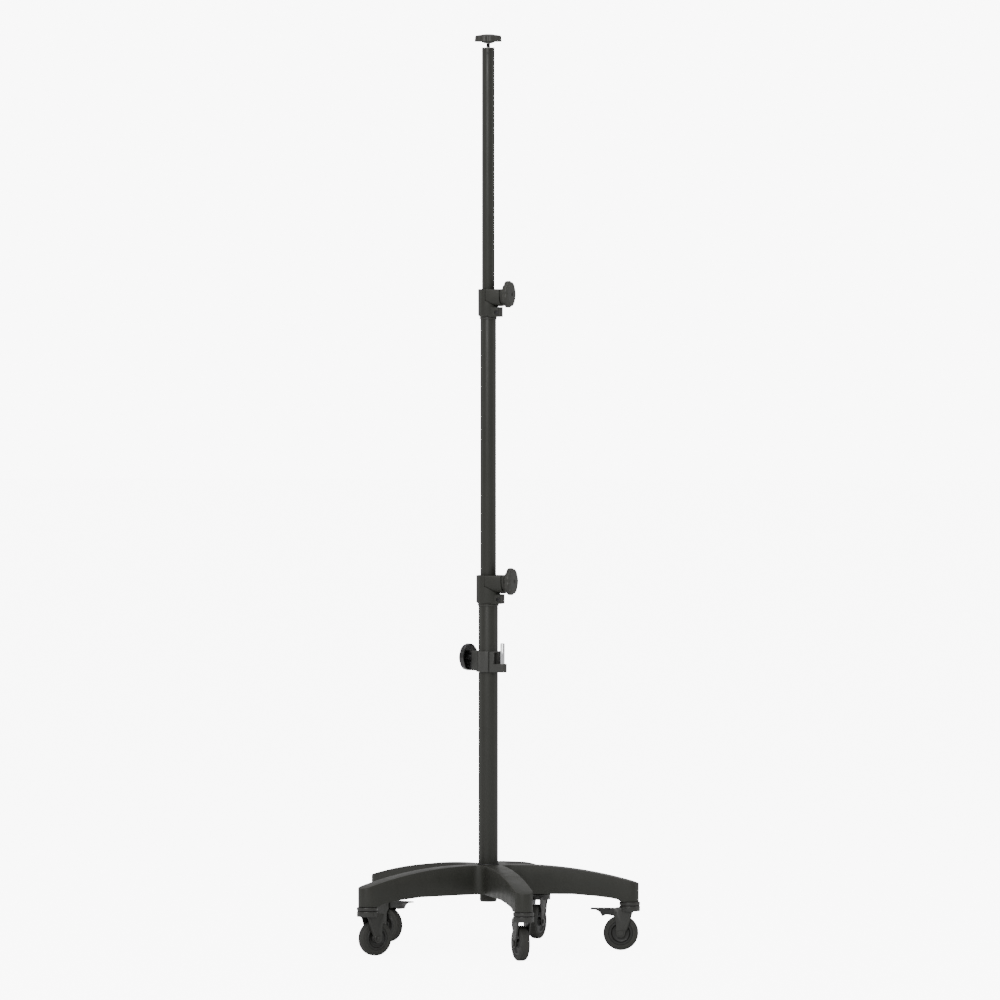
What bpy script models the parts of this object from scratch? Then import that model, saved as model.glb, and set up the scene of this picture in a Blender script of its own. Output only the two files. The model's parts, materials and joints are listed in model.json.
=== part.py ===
"""Rolling telescopic stand: a five-arm caster base, a three-stage mast with two clamp collars,
an accessory clamp with a threaded stud, and a star grip on a threaded stem at the mast's top.

Metres, +Z up. The floor is z = 0 and the origin is under the middle of the base's outline.
"""

from math import cos, exp, pi, radians, sin, sqrt, tau

import bmesh
import bpy
from mathutils import Matrix, Vector

GAP = 0.0003  # clearance between pieces that touch

# Base
ARM_COUNT = 5
ARM_REACH = 0.304  # mast axis to a caster's swivel axis
ARM_WIDTH = 0.039
ARM_ROOT_FILLET = 0.0185
ARM_CROWN_RADIUS = 0.911  # of the arched top, seen from the side
HUB_TOP = 0.183
HUB_FLAT = 0.060  # radius of the flat round the mast
ARM_UNDERSIDE = 0.121
BOSS_BOTTOM = 0.105
BOSS_START = 0.284
STEM_HOLE_TOP = 0.136
ARM_HOLLOW = (0.068, 0.262)  # the hollow under each arm, along it
ARM_WALL = 0.0050

# Casters
WHEEL_RADIUS = 0.0375
WHEEL_WIDTH = 0.020
TRAIL = 0.019
RACE_RADIUS = 0.0223
CROWN_RADIUS = 0.0223
CROWN_BOTTOM, CROWN_TOP = 0.0842, 0.0960
LEG_OUTER, LEG_THICKNESS = 0.0146, 0.0026
AXLE_RADIUS = 0.0040
BRAKED = (0, 2)
SWIVEL_REST = (0, 0, 0, 0, radians(5))
PEDAL_PIVOT = (-0.0290, 0.0815)

# Mast
MAST_FLOOR = 0.127
LOWER_TUBE = (0.021, 0.0020, MAST_FLOOR + GAP, 0.7715)  # radius, wall, bottom, top
MIDDLE_TUBE = (0.017, 0.0018, 0.660, 1.3840)
UPPER_TUBE = (0.0135, 0.0016, 1.260, 1.9320)
BUSH_LENGTH = 0.045
SET_SCREW_DROP = 0.011

# Clamp collars: height range, body radius, boss, ear and knob along the screw's direction
KNOB_HEADING = radians(-18)
LOWER_COLLAR = {
    "outer": LOWER_TUBE, "inner": MIDDLE_TUBE, "radius": 0.0258, "bottom": 0.7425, "top": 0.8040,
    "boss_half": 0.0270, "boss_front": 0.0390, "boss_bottom": 0.7650, "boss_corner": 0.0260,
    "ear_front": 0.0333, "ear_half": 0.0126, "ear_top": 0.7633, "bolt_along": 0.0283,
    "bolt_height": 0.7523, "screw_height": 0.7910, "knob_radius": 0.0295,
}
UPPER_COLLAR = {
    "outer": MIDDLE_TUBE, "inner": UPPER_TUBE, "radius": 0.02175, "bottom": 1.3570, "top": 1.4170,
    "boss_half": 0.0220, "boss_front": 0.0335, "boss_bottom": 1.3800, "boss_corner": 0.0200,
    "ear_front": 0.0290, "ear_half": 0.0130, "ear_top": 1.3785, "bolt_along": 0.0240,
    "bolt_height": 1.3672, "screw_height": 1.4060, "knob_radius": 0.0290,
}
SCREW_RADIUS = 0.0040
PAD_RADIUS = 0.0050
SCREW_TRAVEL = 0.00375
KNOB_THREAD = 0.0070  # of screw held in a knob's head
COLLAR_KNOB = {"neck": (0.0115, 0.0008), "depth": 0.0130, "notch": 1.0}  # neck as radius, length
CLAMP_KNOB = {"neck": (0.0095, 0.0078), "depth": 0.0145, "notch": 0.35}
END_BLOCK = {"groove": 0.0014, "depth": 0.0072, "inset": 0.0028}  # outer end of a collar's boss
LOBES = 7
LOBE_PHASE = 0.25  # turn of the lobes, as a part of one lobe

# Accessory clamp: its screw points at CLAMP_HEADING, its stud arm the other way
CLAMP_HEADING = radians(150)
CLAMP_BOTTOM, CLAMP_TOP = 0.5965, 0.6415
CLAMP_RADIUS = 0.0262
CLAMP_SCREW_HEIGHT = 0.6270
STUD_ALONG, STUD_ACROSS = 0.0445, -0.0115
STUD_RADIUS, STUD_TOP = 0.00475, 0.6595
JAW_PLATE = (-0.0090, 0.0078)  # the plate on the jaw's face and its rubber pad, across
JAW_RELIEF = 0.0010  # depth of the relief in the arm's top under them
ARM_TOP = 0.6155

# Top grip
STEM_RADIUS = 0.0042
GRIP_BOTTOM, GRIP_RADIUS = 1.9436, 0.0293
GRIP_CAP_RADIUS = 0.0148
GRIP_CAP_TOP = 1.9620

MAST_X = -ARM_REACH * (1 - cos(pi / ARM_COUNT)) / 2  # centres the base's outline on the origin


# ---------------------------------------------------------------- scene and materials

def clear_scene():
    for thing in list(bpy.data.objects):
        bpy.data.objects.remove(thing)


def material(name, colour, roughness, metallic=0.0):
    made = bpy.data.materials.new(name)
    made.use_nodes = True
    shader = made.node_tree.nodes["Principled BSDF"]
    shader.inputs["Base Color"].default_value = (*colour, 1)
    shader.inputs["Roughness"].default_value = roughness
    shader.inputs["Metallic"].default_value = metallic
    return made


def empty(name, parent=None, location=(0, 0, 0), turn=0.0):
    made = bpy.data.objects.new(name, None)
    bpy.context.collection.objects.link(made)
    made.parent = parent
    made.location = location
    made.rotation_euler = (0, 0, turn)
    return made


def place(name, mesh, finish, parent, location=(0, 0, 0), rotation=(0, 0, 0)):
    made = bpy.data.objects.new(name, mesh)
    bpy.context.collection.objects.link(made)
    made.parent = parent
    made.location = location
    made.rotation_euler = rotation
    mesh.shade_smooth()
    mesh.set_sharp_from_angle(angle=radians(35))
    if finish is not None:
        mesh.materials.append(finish)
    return made


def combine(target, operation, mesh, location=(0, 0, 0), rotation=(0, 0, 0)):
    """Cuts a hidden helper shape from the target, joins it on, or keeps only what both share."""
    helper = place(target.name + "_" + operation.lower(), mesh, None, target.parent, location, rotation)
    helper.hide_render = True
    helper.display_type = "WIRE"
    step = target.modifiers.new(operation.title(), "BOOLEAN")
    step.operation = operation
    step.solver = "EXACT"
    step.object = helper


# ---------------------------------------------------------------- shapes

def finished(bm, name):
    bmesh.ops.remove_doubles(bm, verts=bm.verts, dist=1e-6)
    bmesh.ops.recalc_face_normals(bm, faces=bm.faces)
    mesh = bpy.data.meshes.new(name)
    bm.to_mesh(mesh)
    bm.free()
    return mesh


def turned(profile, segments):
    """A mesh spun round Z from (radius, height) points. A profile between two axis points is left open."""
    bm = bmesh.new()
    points = [bm.verts.new((r, 0, z)) for r, z in profile]
    on_axis = profile[0][0] == 0 and profile[-1][0] == 0
    pairs = list(zip(points, points[1:])) + ([] if on_axis else [(points[-1], points[0])])
    edges = [bm.edges.new(pair) for pair in pairs]
    bmesh.ops.spin(
        bm, geom=points + edges, axis=(0, 0, 1), cent=(0, 0, 0), steps=segments, angle=tau, use_merge=True
    )
    return finished(bm, "turned")


def prism(outline, bottom, top):
    """A mesh extruded up Z from an outline of (x, y) points."""
    bm = bmesh.new()
    face = bm.faces.new([bm.verts.new((x, y, bottom)) for x, y in outline])
    raised = bmesh.ops.extrude_face_region(bm, geom=[face])["geom"]
    lifted = [part for part in raised if isinstance(part, bmesh.types.BMVert)]
    bmesh.ops.translate(bm, verts=lifted, vec=(0, 0, top - bottom))
    return finished(bm, "prism")


def moved(mesh, matrix):
    mesh.transform(matrix)
    if matrix.determinant() < 0:
        mesh.flip_normals()
    return mesh


def rod(radius, bottom, top, segments=24):
    return turned([(0, bottom), (radius, bottom), (radius, top), (0, top)], segments)


def tube(inner, outer, bottom, top, segments=36):
    return turned([(inner, bottom), (outer, bottom), (outer, top), (inner, top)], segments)


def block(low, high):
    (x0, y0, z0), (x1, y1, z1) = low, high
    return prism([(x0, y0), (x1, y0), (x1, y1), (x0, y1)], z0, z1)


def arc(centre, radius, start, end, steps):
    """Points along an arc, angles in radians, both ends included."""
    return [
        (centre[0] + radius * cos(start + (end - start) * i / steps),
         centre[1] + radius * sin(start + (end - start) * i / steps))
        for i in range(steps + 1)
    ]


def circle_ring(radius, height, count):
    return [(radius * cos(tau * i / count), radius * sin(tau * i / count), height) for i in range(count)]


def lobed_ring(radius, height, count, notch=1.0):
    """A nearly round star outline: seven broad lobes with a shallow notch between each two."""
    ring = []
    for i in range(count):
        angle = tau * i / count
        off = (LOBES * angle / tau + LOBE_PHASE) % 1 - 0.5  # 0 in the middle of a notch, 0.5 on a crest
        cut = 0.075 * exp(-(off / 0.15) ** 2) + 0.012 * (1 - (2 * off) ** 2)
        reach = radius * (1 - cut * notch)
        ring.append((reach * cos(angle), reach * sin(angle), height))
    return ring


def lofted(rings):
    """A closed mesh through rings of equal point count, capped at both ends."""
    bm = bmesh.new()
    loops = [[bm.verts.new(p) for p in ring] for ring in rings]
    for lower, upper in zip(loops, loops[1:]):
        for a, b, c, d in zip(lower, lower[1:] + lower[:1], upper[1:] + upper[:1], upper):
            bm.faces.new((a, b, c, d))
    bm.faces.new(loops[0])
    bm.faces.new(loops[-1])
    return finished(bm, "lofted")


# ---------------------------------------------------------------- base

def arm_top(radius):
    """Height of the arched top at a distance from the mast."""
    run = max(radius - HUB_FLAT, 0)
    return HUB_TOP - (ARM_CROWN_RADIUS - sqrt(ARM_CROWN_RADIUS ** 2 - run ** 2))


def star_outline():
    """The base from above: round-ended arms with hollow fillets between them."""
    half, step = ARM_WIDTH / 2, pi / ARM_COUNT
    fillet_at = (half + ARM_ROOT_FILLET) / sin(step)
    outline = []
    for i in range(ARM_COUNT):
        heading = tau * i / ARM_COUNT
        tip = (ARM_REACH * cos(heading), ARM_REACH * sin(heading))
        outline += arc(tip, half, heading - pi / 2, heading + pi / 2, 10)
        between = heading + step
        centre = (fillet_at * cos(between), fillet_at * sin(between))
        outline += arc(centre, ARM_ROOT_FILLET, heading - pi / 2, between + step + pi / 2 - tau, 6)
    return outline


def base_profile():
    """The base from the side, from the underside's middle out to the rim and back along the arched top."""
    rim = ARM_REACH + ARM_WIDTH
    underside = [(0, ARM_UNDERSIDE), (0.183, ARM_UNDERSIDE), (0.233, 0.117), (0.265, 0.113), (0.279, 0.110)]
    boss = [(BOSS_START, BOSS_BOTTOM), (rim, BOSS_BOTTOM)]
    steps = 9
    radii = [rim - (rim - HUB_FLAT) * i / steps for i in range(steps + 1)]
    return underside + boss + [(r, arm_top(r)) for r in radii] + [(0, HUB_TOP)]


def make_base(stand, finishes):
    casting = place("base_casting", prism(star_outline(), 0.09, 0.2), finishes["coat"], stand)
    combine(casting, "INTERSECT", turned(base_profile(), 40), rotation=(0, 0, tau / 80))
    socket = [(0, ARM_UNDERSIDE - 0.01), (0.0064, ARM_UNDERSIDE - 0.01), (0.0064, MAST_FLOOR)]
    socket += [(LOWER_TUBE[0] + GAP, MAST_FLOOR), (LOWER_TUBE[0] + GAP, HUB_TOP + 0.01), (0, HUB_TOP + 0.01)]
    combine(casting, "DIFFERENCE", turned(socket, 36))
    start, end = ARM_HOLLOW
    side = [(start, 0.09), (end, 0.09), (end, arm_top(end) - ARM_WALL * 1.4), (0.21, arm_top(0.21) - ARM_WALL * 1.4)]
    side += [(0.14, arm_top(0.14) - ARM_WALL * 1.4), (start, arm_top(start) - ARM_WALL * 1.4)]
    half = ARM_WIDTH / 2 - ARM_WALL
    for i in range(ARM_COUNT):
        heading = tau * i / ARM_COUNT
        tip = (ARM_REACH * cos(heading), ARM_REACH * sin(heading), 0)
        combine(casting, "DIFFERENCE", rod(0.0058, BOSS_BOTTOM - 0.01, STEM_HOLE_TOP, 20), tip)
        combine(casting, "DIFFERENCE", upright(side, -half, half), rotation=(0, 0, heading))
    foot = [(0.0064, MAST_FLOOR + GAP), (0.0186, MAST_FLOOR + GAP), (0.0186, 0.150), (0.0064, 0.150)]
    place("mast_foot", turned(foot, 30), finishes["steel"], stand)
    bolt = [(0, 0.1095), (0.0090, 0.1095), (0.0090, ARM_UNDERSIDE - GAP), (0.0060, ARM_UNDERSIDE - GAP)]
    bolt += [(0.0060, 0.147), (0, 0.147)]
    place("mast_bolt", turned(bolt, 18), finishes["steel"], stand)
    plug = [(0, 0.1030), (0.0165, 0.1030), (0.0184, 0.1055), (0.0184, ARM_UNDERSIDE - GAP)]
    plug += [(0.0150, ARM_UNDERSIDE - GAP), (0.0150, 0.1075), (0, 0.1075)]
    place("hub_plug", turned(plug, 24), finishes["coat"], stand)


# ---------------------------------------------------------------- casters

def leg_outline():
    """One fork leg from the side as (along, up) points: broad at the crown, round at the axle."""
    foot = (-TRAIL, WHEEL_RADIUS)
    outline = [(0.0160, 0.0920), (0.0160, CROWN_BOTTOM + 0.0008), (0.0095, CROWN_BOTTOM + 0.0008), (0.0048, 0.0778)]
    outline += [(0.0024, 0.0690), (-0.0026, 0.0510), (-0.0066, 0.0430)]
    outline += arc(foot, 0.0097, radians(0), radians(-180), 8)
    return outline + [(-0.0288, 0.0650), (-0.0340, 0.0715), (-0.0345, 0.0880), (-0.0160, 0.0920)]


def upright(outline, half_low, half_high):
    """A plate whose outline is (x, z), spanning a range of y."""
    return moved(prism(outline, half_low, half_high), Matrix(((1, 0, 0, 0), (0, 0, 1, 0), (0, 1, 0, 0), (0, 0, 0, 1))))


def across(radius, half_length, segments=20):
    """A rod along y, centred on the object's origin."""
    return moved(rod(radius, -half_length, half_length, segments), Matrix.Rotation(pi / 2, 4, "X"))


def make_caster(index, stand, finishes):
    heading = tau * index / ARM_COUNT
    name = f"caster_{index + 1}_"
    tip = (ARM_REACH * cos(heading), ARM_REACH * sin(heading), 0)
    axis = empty(name + "axis", stand, tip, heading + SWIVEL_REST[index])
    braked = index in BRAKED

    seat = CROWN_BOTTOM + 0.0045
    stem = [(0, CROWN_BOTTOM + 0.0006), (0.0078, CROWN_BOTTOM + 0.0006), (0.0078, seat - GAP), (0.0050, seat - GAP)]
    stem += [(0.0050, CROWN_TOP + 0.0008), (0.0210, CROWN_TOP + 0.0008), (RACE_RADIUS, 0.0980)]
    stem += [(RACE_RADIUS, 0.1025), (0.0205, 0.1042), (0.0090, 0.1042), (0.0090, BOSS_BOTTOM - GAP)]
    stem += [(0.0055, BOSS_BOTTOM - GAP), (0.0055, 0.1345), (0, 0.1345)]
    place(name + "stem", turned(stem, 20), finishes["zinc"], axis)

    crown = [(0.0081, CROWN_BOTTOM), (CROWN_RADIUS, CROWN_BOTTOM), (CROWN_RADIUS, CROWN_TOP - 0.0015)]
    crown += [(CROWN_RADIUS - 0.0015, CROWN_TOP), (0.0053, CROWN_TOP), (0.0053, seat), (0.0081, seat)]
    fork = place(name + "fork", turned(crown, 24), finishes["zinc"], axis)
    inner = LEG_OUTER - LEG_THICKNESS
    for side in (-1, 1):
        low, high = sorted((side * inner, side * LEG_OUTER))
        combine(fork, "UNION", upright(leg_outline(), low, high))
    combine(fork, "DIFFERENCE", across(AXLE_RADIUS + GAP, 0.03), (-TRAIL, 0, WHEEL_RADIUS))
    if braked:
        pivot = (PEDAL_PIVOT[0], 0, PEDAL_PIVOT[1])
        combine(fork, "DIFFERENCE", across(0.0023, 0.03, 16), pivot)

    hub = (-TRAIL, 0, WHEEL_RADIUS)
    on_side = (pi / 2, 0, 0)
    half = WHEEL_WIDTH / 2
    tyre = [(0.0262, -half), (0.0330, -half), (0.0362, -half + 0.0020), (WHEEL_RADIUS, -half + 0.0052)]
    tyre += [(r, -y) for r, y in reversed(tyre)]
    place(name + "tyre", turned(tyre, 30), finishes["tyre"], axis, hub, on_side)
    rim, web, boss = half - 0.0005, 0.0070, inner - 0.0005
    core = [(AXLE_RADIUS + GAP, -boss), (0.0088, -boss), (0.0088, -web), (0.0200, -web), (0.0205, -rim), (0.0259, -rim)]
    core += [(r, -y) for r, y in reversed(core)]
    place(name + "wheel", turned(core, 20), finishes["core"], axis, hub, on_side)
    end = LEG_OUTER + 0.0032
    bolt = [(0, -end), (0.0062, -end), (0.0062, -LEG_OUTER - GAP), (AXLE_RADIUS, -LEG_OUTER - GAP)]
    bolt += [(r, -y) for r, y in reversed(bolt)]
    place(name + "axle", turned(bolt, 12), finishes["zinc"], axis, hub, on_side)

    if braked:
        x, z = PEDAL_PIVOT
        side_view = [(x + 0.0050, z + 0.0030), (x + 0.0050, z - 0.0040), (-0.0300, 0.0745), (-0.0370, 0.0745)]
        side_view += [(-0.0490, 0.0768), (-0.0570, 0.0728), (-0.0598, 0.0742), (-0.0645, 0.0828)]
        side_view += [(-0.0710, 0.0868), (-0.0840, 0.0896), (-0.0840, 0.0907), (-0.0330, 0.0907)]
        pedal = place(name + "pedal", upright(side_view, -0.0113, 0.0113), finishes["core"], axis)
        paddle = [(-0.0835, 0.0880), (-0.0440, 0.0880), (-0.0440, 0.0905), (-0.0835, 0.0905)]
        combine(pedal, "UNION", upright(paddle, -0.0150, 0.0150))
        combine(pedal, "UNION", across(0.0020, 0.0152, 16), (x, 0, z))


# ---------------------------------------------------------------- mast

def make_tube(name, spec, stand, finishes):
    radius, wall, bottom, top = spec
    return place(name, tube(radius - wall, radius, bottom, top), finishes["coat"], stand)


def make_bush(name, carried, around, stand, finishes):
    """The guide sleeve on a sliding tube's foot, which runs inside the tube outside it."""
    bore = carried[0] + GAP
    shell = around[0] - around[1] - GAP
    lip = carried[0] - carried[1]
    foot = carried[2]
    profile = [(lip, foot - 0.0035), (shell, foot - 0.0035), (shell, foot + BUSH_LENGTH)]
    profile += [(bore, foot + BUSH_LENGTH), (bore, foot - GAP), (lip, foot - GAP)]
    place(name, turned(profile, 36), finishes["nylon"], stand)


def make_mast(stand, finishes):
    make_tube("lower_tube", LOWER_TUBE, stand, finishes)
    make_tube("middle_tube", MIDDLE_TUBE, stand, finishes)
    make_tube("upper_tube", UPPER_TUBE, stand, finishes)
    make_bush("middle_bush", MIDDLE_TUBE, LOWER_TUBE, stand, finishes)
    make_bush("upper_bush", UPPER_TUBE, MIDDLE_TUBE, stand, finishes)
    radius, wall, _, top = UPPER_TUBE
    inside = radius - wall - GAP
    plug = [(STEM_RADIUS + GAP, top - 0.030), (inside, top - 0.030), (inside, top + GAP), (radius, top + GAP)]
    plug += [(radius, top + 0.0015), (STEM_RADIUS + GAP, top + 0.0015)]
    place("mast_plug", turned(plug, 24), finishes["steel"], stand)


# ---------------------------------------------------------------- knobs and screws

def knob_mesh(radius, shape, count=LOBES * 6):
    """A star knob along +Z: a neck, then a lobed head, with a blind hole for its screw in the back."""
    (neck, back), notch = shape["neck"], shape["notch"]
    hole, front = SCREW_RADIUS + GAP, back + shape["depth"]
    return lofted([
        circle_ring(hole, back + KNOB_THREAD, count),
        circle_ring(hole, 0, count),
        circle_ring(neck, 0, count),
        circle_ring(neck + 0.0005, back, count),
        lobed_ring(radius * 0.95, back, count, notch),
        lobed_ring(radius, back + 0.0020, count, notch),
        lobed_ring(radius, front - 0.0045, count, notch),
        lobed_ring(radius * 0.93, front - 0.0018, count, notch),
        lobed_ring(radius * 0.70, front - 0.0004, count, notch),
        circle_ring(radius * 0.40, front, count),
    ])


def along_screw(mesh, height):
    """Turns a mesh made along +Z so that it points along +X, at a height."""
    return moved(mesh, Matrix.Translation((0, 0, height)) @ Matrix.Rotation(pi / 2, 4, "Y"))


def make_clamp_screw(prefix, axis, height, tube_radius, knob_start, knob_radius, shape, finishes, knob_finish):
    """Pressure pad, screw and knob, pointing along the axis empty's +X."""
    pad_start = tube_radius + GAP
    pad_end = pad_start + 0.0045
    place(prefix + "_pad", along_screw(rod(PAD_RADIUS, pad_start, pad_end), height), finishes["nylon"], axis)
    screw = rod(SCREW_RADIUS, pad_end + GAP, knob_start + shape["neck"][1] + KNOB_THREAD - 0.0005)
    place(prefix + "_screw", along_screw(screw, height), finishes["steel"], axis)
    turn = Matrix.Translation((knob_start, 0, 0))
    knob = moved(along_screw(knob_mesh(knob_radius, shape), 0), turn)
    place(prefix + "_knob", moved(knob, Matrix.Translation((0, 0, height))), knob_finish, axis)


def screw_hole(body, height, tube_radius, front):
    """A pocket for the pad that opens on the tube, and a clear hole for the screw out to the front."""
    pocket_end = tube_radius + GAP + 0.0045 + SCREW_TRAVEL + GAP
    profile = [(0, tube_radius - 0.004), (PAD_RADIUS + GAP, tube_radius - 0.004), (PAD_RADIUS + GAP, pocket_end)]
    profile += [(SCREW_RADIUS + GAP, pocket_end), (SCREW_RADIUS + GAP, front + 0.01), (0, front + 0.01)]
    combine(body, "DIFFERENCE", along_screw(turned(profile, 24), height))


# ---------------------------------------------------------------- clamp collars

def boss_outline(half, bottom, top, corner):
    """The boss from the front as (across, up) points, with round lower corners."""
    outline = arc((half - corner, bottom + corner), corner, 0, -pi / 2, 6)
    outline += arc((-half + corner, bottom + corner), corner, -pi / 2, -pi, 6)
    return outline + [(-half, top), (half, top)]


def make_collar(prefix, spec, stand, finishes):
    axis = empty(prefix + "_axis", stand, (0, 0, 0), KNOB_HEADING)
    radius, bottom, top = spec["radius"], spec["bottom"], spec["top"]
    outer, inner = spec["outer"][0] + GAP, spec["inner"][0] + 0.0004
    shoulder = spec["outer"][3] + GAP
    shell = [(outer, bottom), (outer, shoulder), (inner, shoulder), (inner, top), (radius - 0.0020, top)]
    shell += [(radius, top - 0.0020), (radius, bottom + 0.0045), (radius - 0.0040, bottom)]
    body = place(prefix + "_body", turned(shell, 36), finishes["coat"], axis)

    half, front = spec["boss_half"], spec["boss_front"]
    face = boss_outline(half, spec["boss_bottom"], top, spec["boss_corner"])
    boss = prism([(-up, side) for side, up in face], 0, front)
    combine(body, "UNION", along_screw(boss, 0))
    inset = END_BLOCK["inset"]
    for trim, sink, start, end in (
        (inset, inset, front - 0.002, front + END_BLOCK["groove"] + 0.002),
        (0.0004, 0.0, front + END_BLOCK["groove"], front + END_BLOCK["depth"]),
    ):
        corner = min(spec["boss_corner"], half - trim - 0.0005)
        edge = boss_outline(half - trim, spec["boss_bottom"] + inset + sink, top - trim, corner)
        combine(body, "UNION", along_screw(prism([(-up, side) for side, up in edge], start, end), 0))
    front += END_BLOCK["depth"]
    reach, ear = spec["ear_front"], spec["ear_half"]
    root = ear + 0.3 * (reach - 0.008)
    ear_plan = [(0.008, -root), (reach, -ear), (reach, ear), (0.008, root)]
    combine(body, "UNION", prism(ear_plan, bottom, spec["ear_top"]))
    bore = turned([(0, bottom - 0.01), (outer, bottom - 0.01), (outer, shoulder), (inner, shoulder),
                   (inner, top + 0.01), (0, top + 0.01)], 36)
    combine(body, "DIFFERENCE", bore)
    slot = block((0, -0.0008, bottom - 0.01), (reach + 0.01, 0.0008, spec["ear_top"] + 0.0008))
    combine(body, "DIFFERENCE", slot)
    screw_hole(body, spec["screw_height"], spec["inner"][0], front)

    # The ear bolt runs across the slot, its head sunk in the ear on the -y side.
    at = Matrix.Translation((spec["bolt_along"], 0, spec["bolt_height"]))
    sideways = at @ Matrix.Rotation(pi / 2, 4, "X")
    seat = ear - 0.0040
    bolt_hole = [(0, -0.0100), (0.0028, -0.0100), (0.0028, seat), (0.0043, seat), (0.0043, 0.0300), (0, 0.0300)]
    combine(body, "DIFFERENCE", moved(turned(bolt_hole, 20), sideways))
    bolt_front = seat + GAP + 0.0040
    bolt = [(0, -0.0090), (0.0025, -0.0090), (0.0025, seat + GAP), (0.0039, seat + GAP), (0.0039, bolt_front)]
    bolt += [(0.0021, bolt_front), (0.0021, bolt_front - 0.0025), (0, bolt_front - 0.0025)]
    place(prefix + "_ear_bolt", moved(turned(bolt, 18), sideways), finishes["black_steel"], axis)

    make_clamp_screw(
        prefix, axis, spec["screw_height"], spec["inner"][0], front + 0.0006, spec["knob_radius"],
        COLLAR_KNOB, finishes, finishes["knob"],
    )


# ---------------------------------------------------------------- accessory clamp

def make_accessory_clamp(stand, finishes):
    """An open-backed clamp on the lower tube. The axis empty's +X points along its screw."""
    axis = empty("accessory_axis", stand, (0, 0, 0), CLAMP_HEADING)
    bottom, top = CLAMP_BOTTOM, CLAMP_TOP
    inner = LOWER_TUBE[0] + GAP + 0.0002
    body = place("accessory_body", rod(CLAMP_RADIUS, bottom, top, 36), finishes["coat"], axis)
    combine(body, "UNION", block((0, -0.0110, bottom + 0.002), (0.0370, 0.0110, top)))
    combine(body, "UNION", block((-0.0275, -0.0100, bottom), (0, 0.0210, top - 0.0005)))
    nose = arc((-STUD_ALONG, -STUD_ACROSS), 0.0093, pi / 2, 3 * pi / 2, 12)
    arm = [(-0.016, -STUD_ACROSS + 0.0093)] + nose + [(-0.016, -STUD_ACROSS - 0.0093)]
    combine(body, "UNION", prism(arm, bottom + 0.0005, ARM_TOP))
    mouth = arc((0, 0), inner, 0, pi, 24) + [(-inner, -0.05), (inner, -0.05)]
    combine(body, "DIFFERENCE", prism(mouth, bottom - 0.01, top + 0.01))
    screw_hole(body, CLAMP_SCREW_HEIGHT, LOWER_TUBE[0], 0.037)
    relief = ARM_TOP - JAW_RELIEF
    combine(body, "DIFFERENCE", block((-0.0341, 0.0012, relief), (-0.0270, 0.0225, ARM_TOP + 0.001)))
    for name, start, end, finish in (
        ("accessory_jaw_plate", -0.0275 - GAP, -0.0320, "coat"), ("accessory_liner", -0.0323, -0.0336, "tyre"),
    ):
        low, high = (end, JAW_PLATE[0], relief + GAP), (start, JAW_PLATE[1], top - 0.001)
        place(name, block(low, high), finishes[finish], axis)
    stud_at = (-STUD_ALONG, -STUD_ACROSS, 0)
    combine(body, "DIFFERENCE", rod(STUD_RADIUS + GAP, ARM_TOP - 0.014, ARM_TOP + 0.01, 24), stud_at)
    stud = [(0, ARM_TOP - 0.0135), (STUD_RADIUS, ARM_TOP - 0.0135), (STUD_RADIUS, STUD_TOP - 0.001)]
    stud += [(STUD_RADIUS - 0.001, STUD_TOP), (0, STUD_TOP)]
    place("accessory_stud", turned(stud, 24), finishes["chrome"], axis, stud_at)
    make_clamp_screw(
        "accessory", axis, CLAMP_SCREW_HEIGHT, LOWER_TUBE[0], 0.0376, 0.0292, CLAMP_KNOB,
        finishes, finishes["black_knob"],
    )


# ---------------------------------------------------------------- top grip

def make_top_grip(stand, finishes):
    count = LOBES * 6
    radius, low = GRIP_RADIUS, GRIP_BOTTOM
    hole = STEM_RADIUS + GAP
    seat = GRIP_CAP_RADIUS + GAP
    grip = lofted([
        circle_ring(hole, low + 0.011, count),
        circle_ring(hole, low, count),
        circle_ring(0.0128, low, count),
        circle_ring(0.0140, low + 0.0012, count),
        lobed_ring(radius * 0.97, low + 0.0026, count),
        lobed_ring(radius, low + 0.0020, count),
        lobed_ring(radius * 0.965, low + 0.0138, count),
        lobed_ring(radius * 0.92, low + 0.0154, count),
        circle_ring(seat, low + 0.0168, count),
        circle_ring(seat, low + 0.0150, count),
    ])
    place("star_grip", grip, finishes["knob"], stand)
    cap = [(0, low + 0.0153), (GRIP_CAP_RADIUS, low + 0.0153), (GRIP_CAP_RADIUS, low + 0.0169)]
    cap += [(0.0115, GRIP_CAP_TOP - 0.0006), (0.0055, GRIP_CAP_TOP), (0, GRIP_CAP_TOP)]
    place("grip_cap", turned(cap, 32), finishes["knob"], stand)
    washer = [(STEM_RADIUS + GAP, low - 0.0016), (0.0100, low - 0.0016), (0.0100, low - GAP)]
    washer += [(STEM_RADIUS + GAP, low - GAP)]
    place("grip_washer", turned(washer, 20), finishes["steel"], stand)
    place("grip_stem", rod(STEM_RADIUS, UPPER_TUBE[3] - 0.045, low + 0.0107, 24), finishes["black_steel"], stand)


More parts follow.
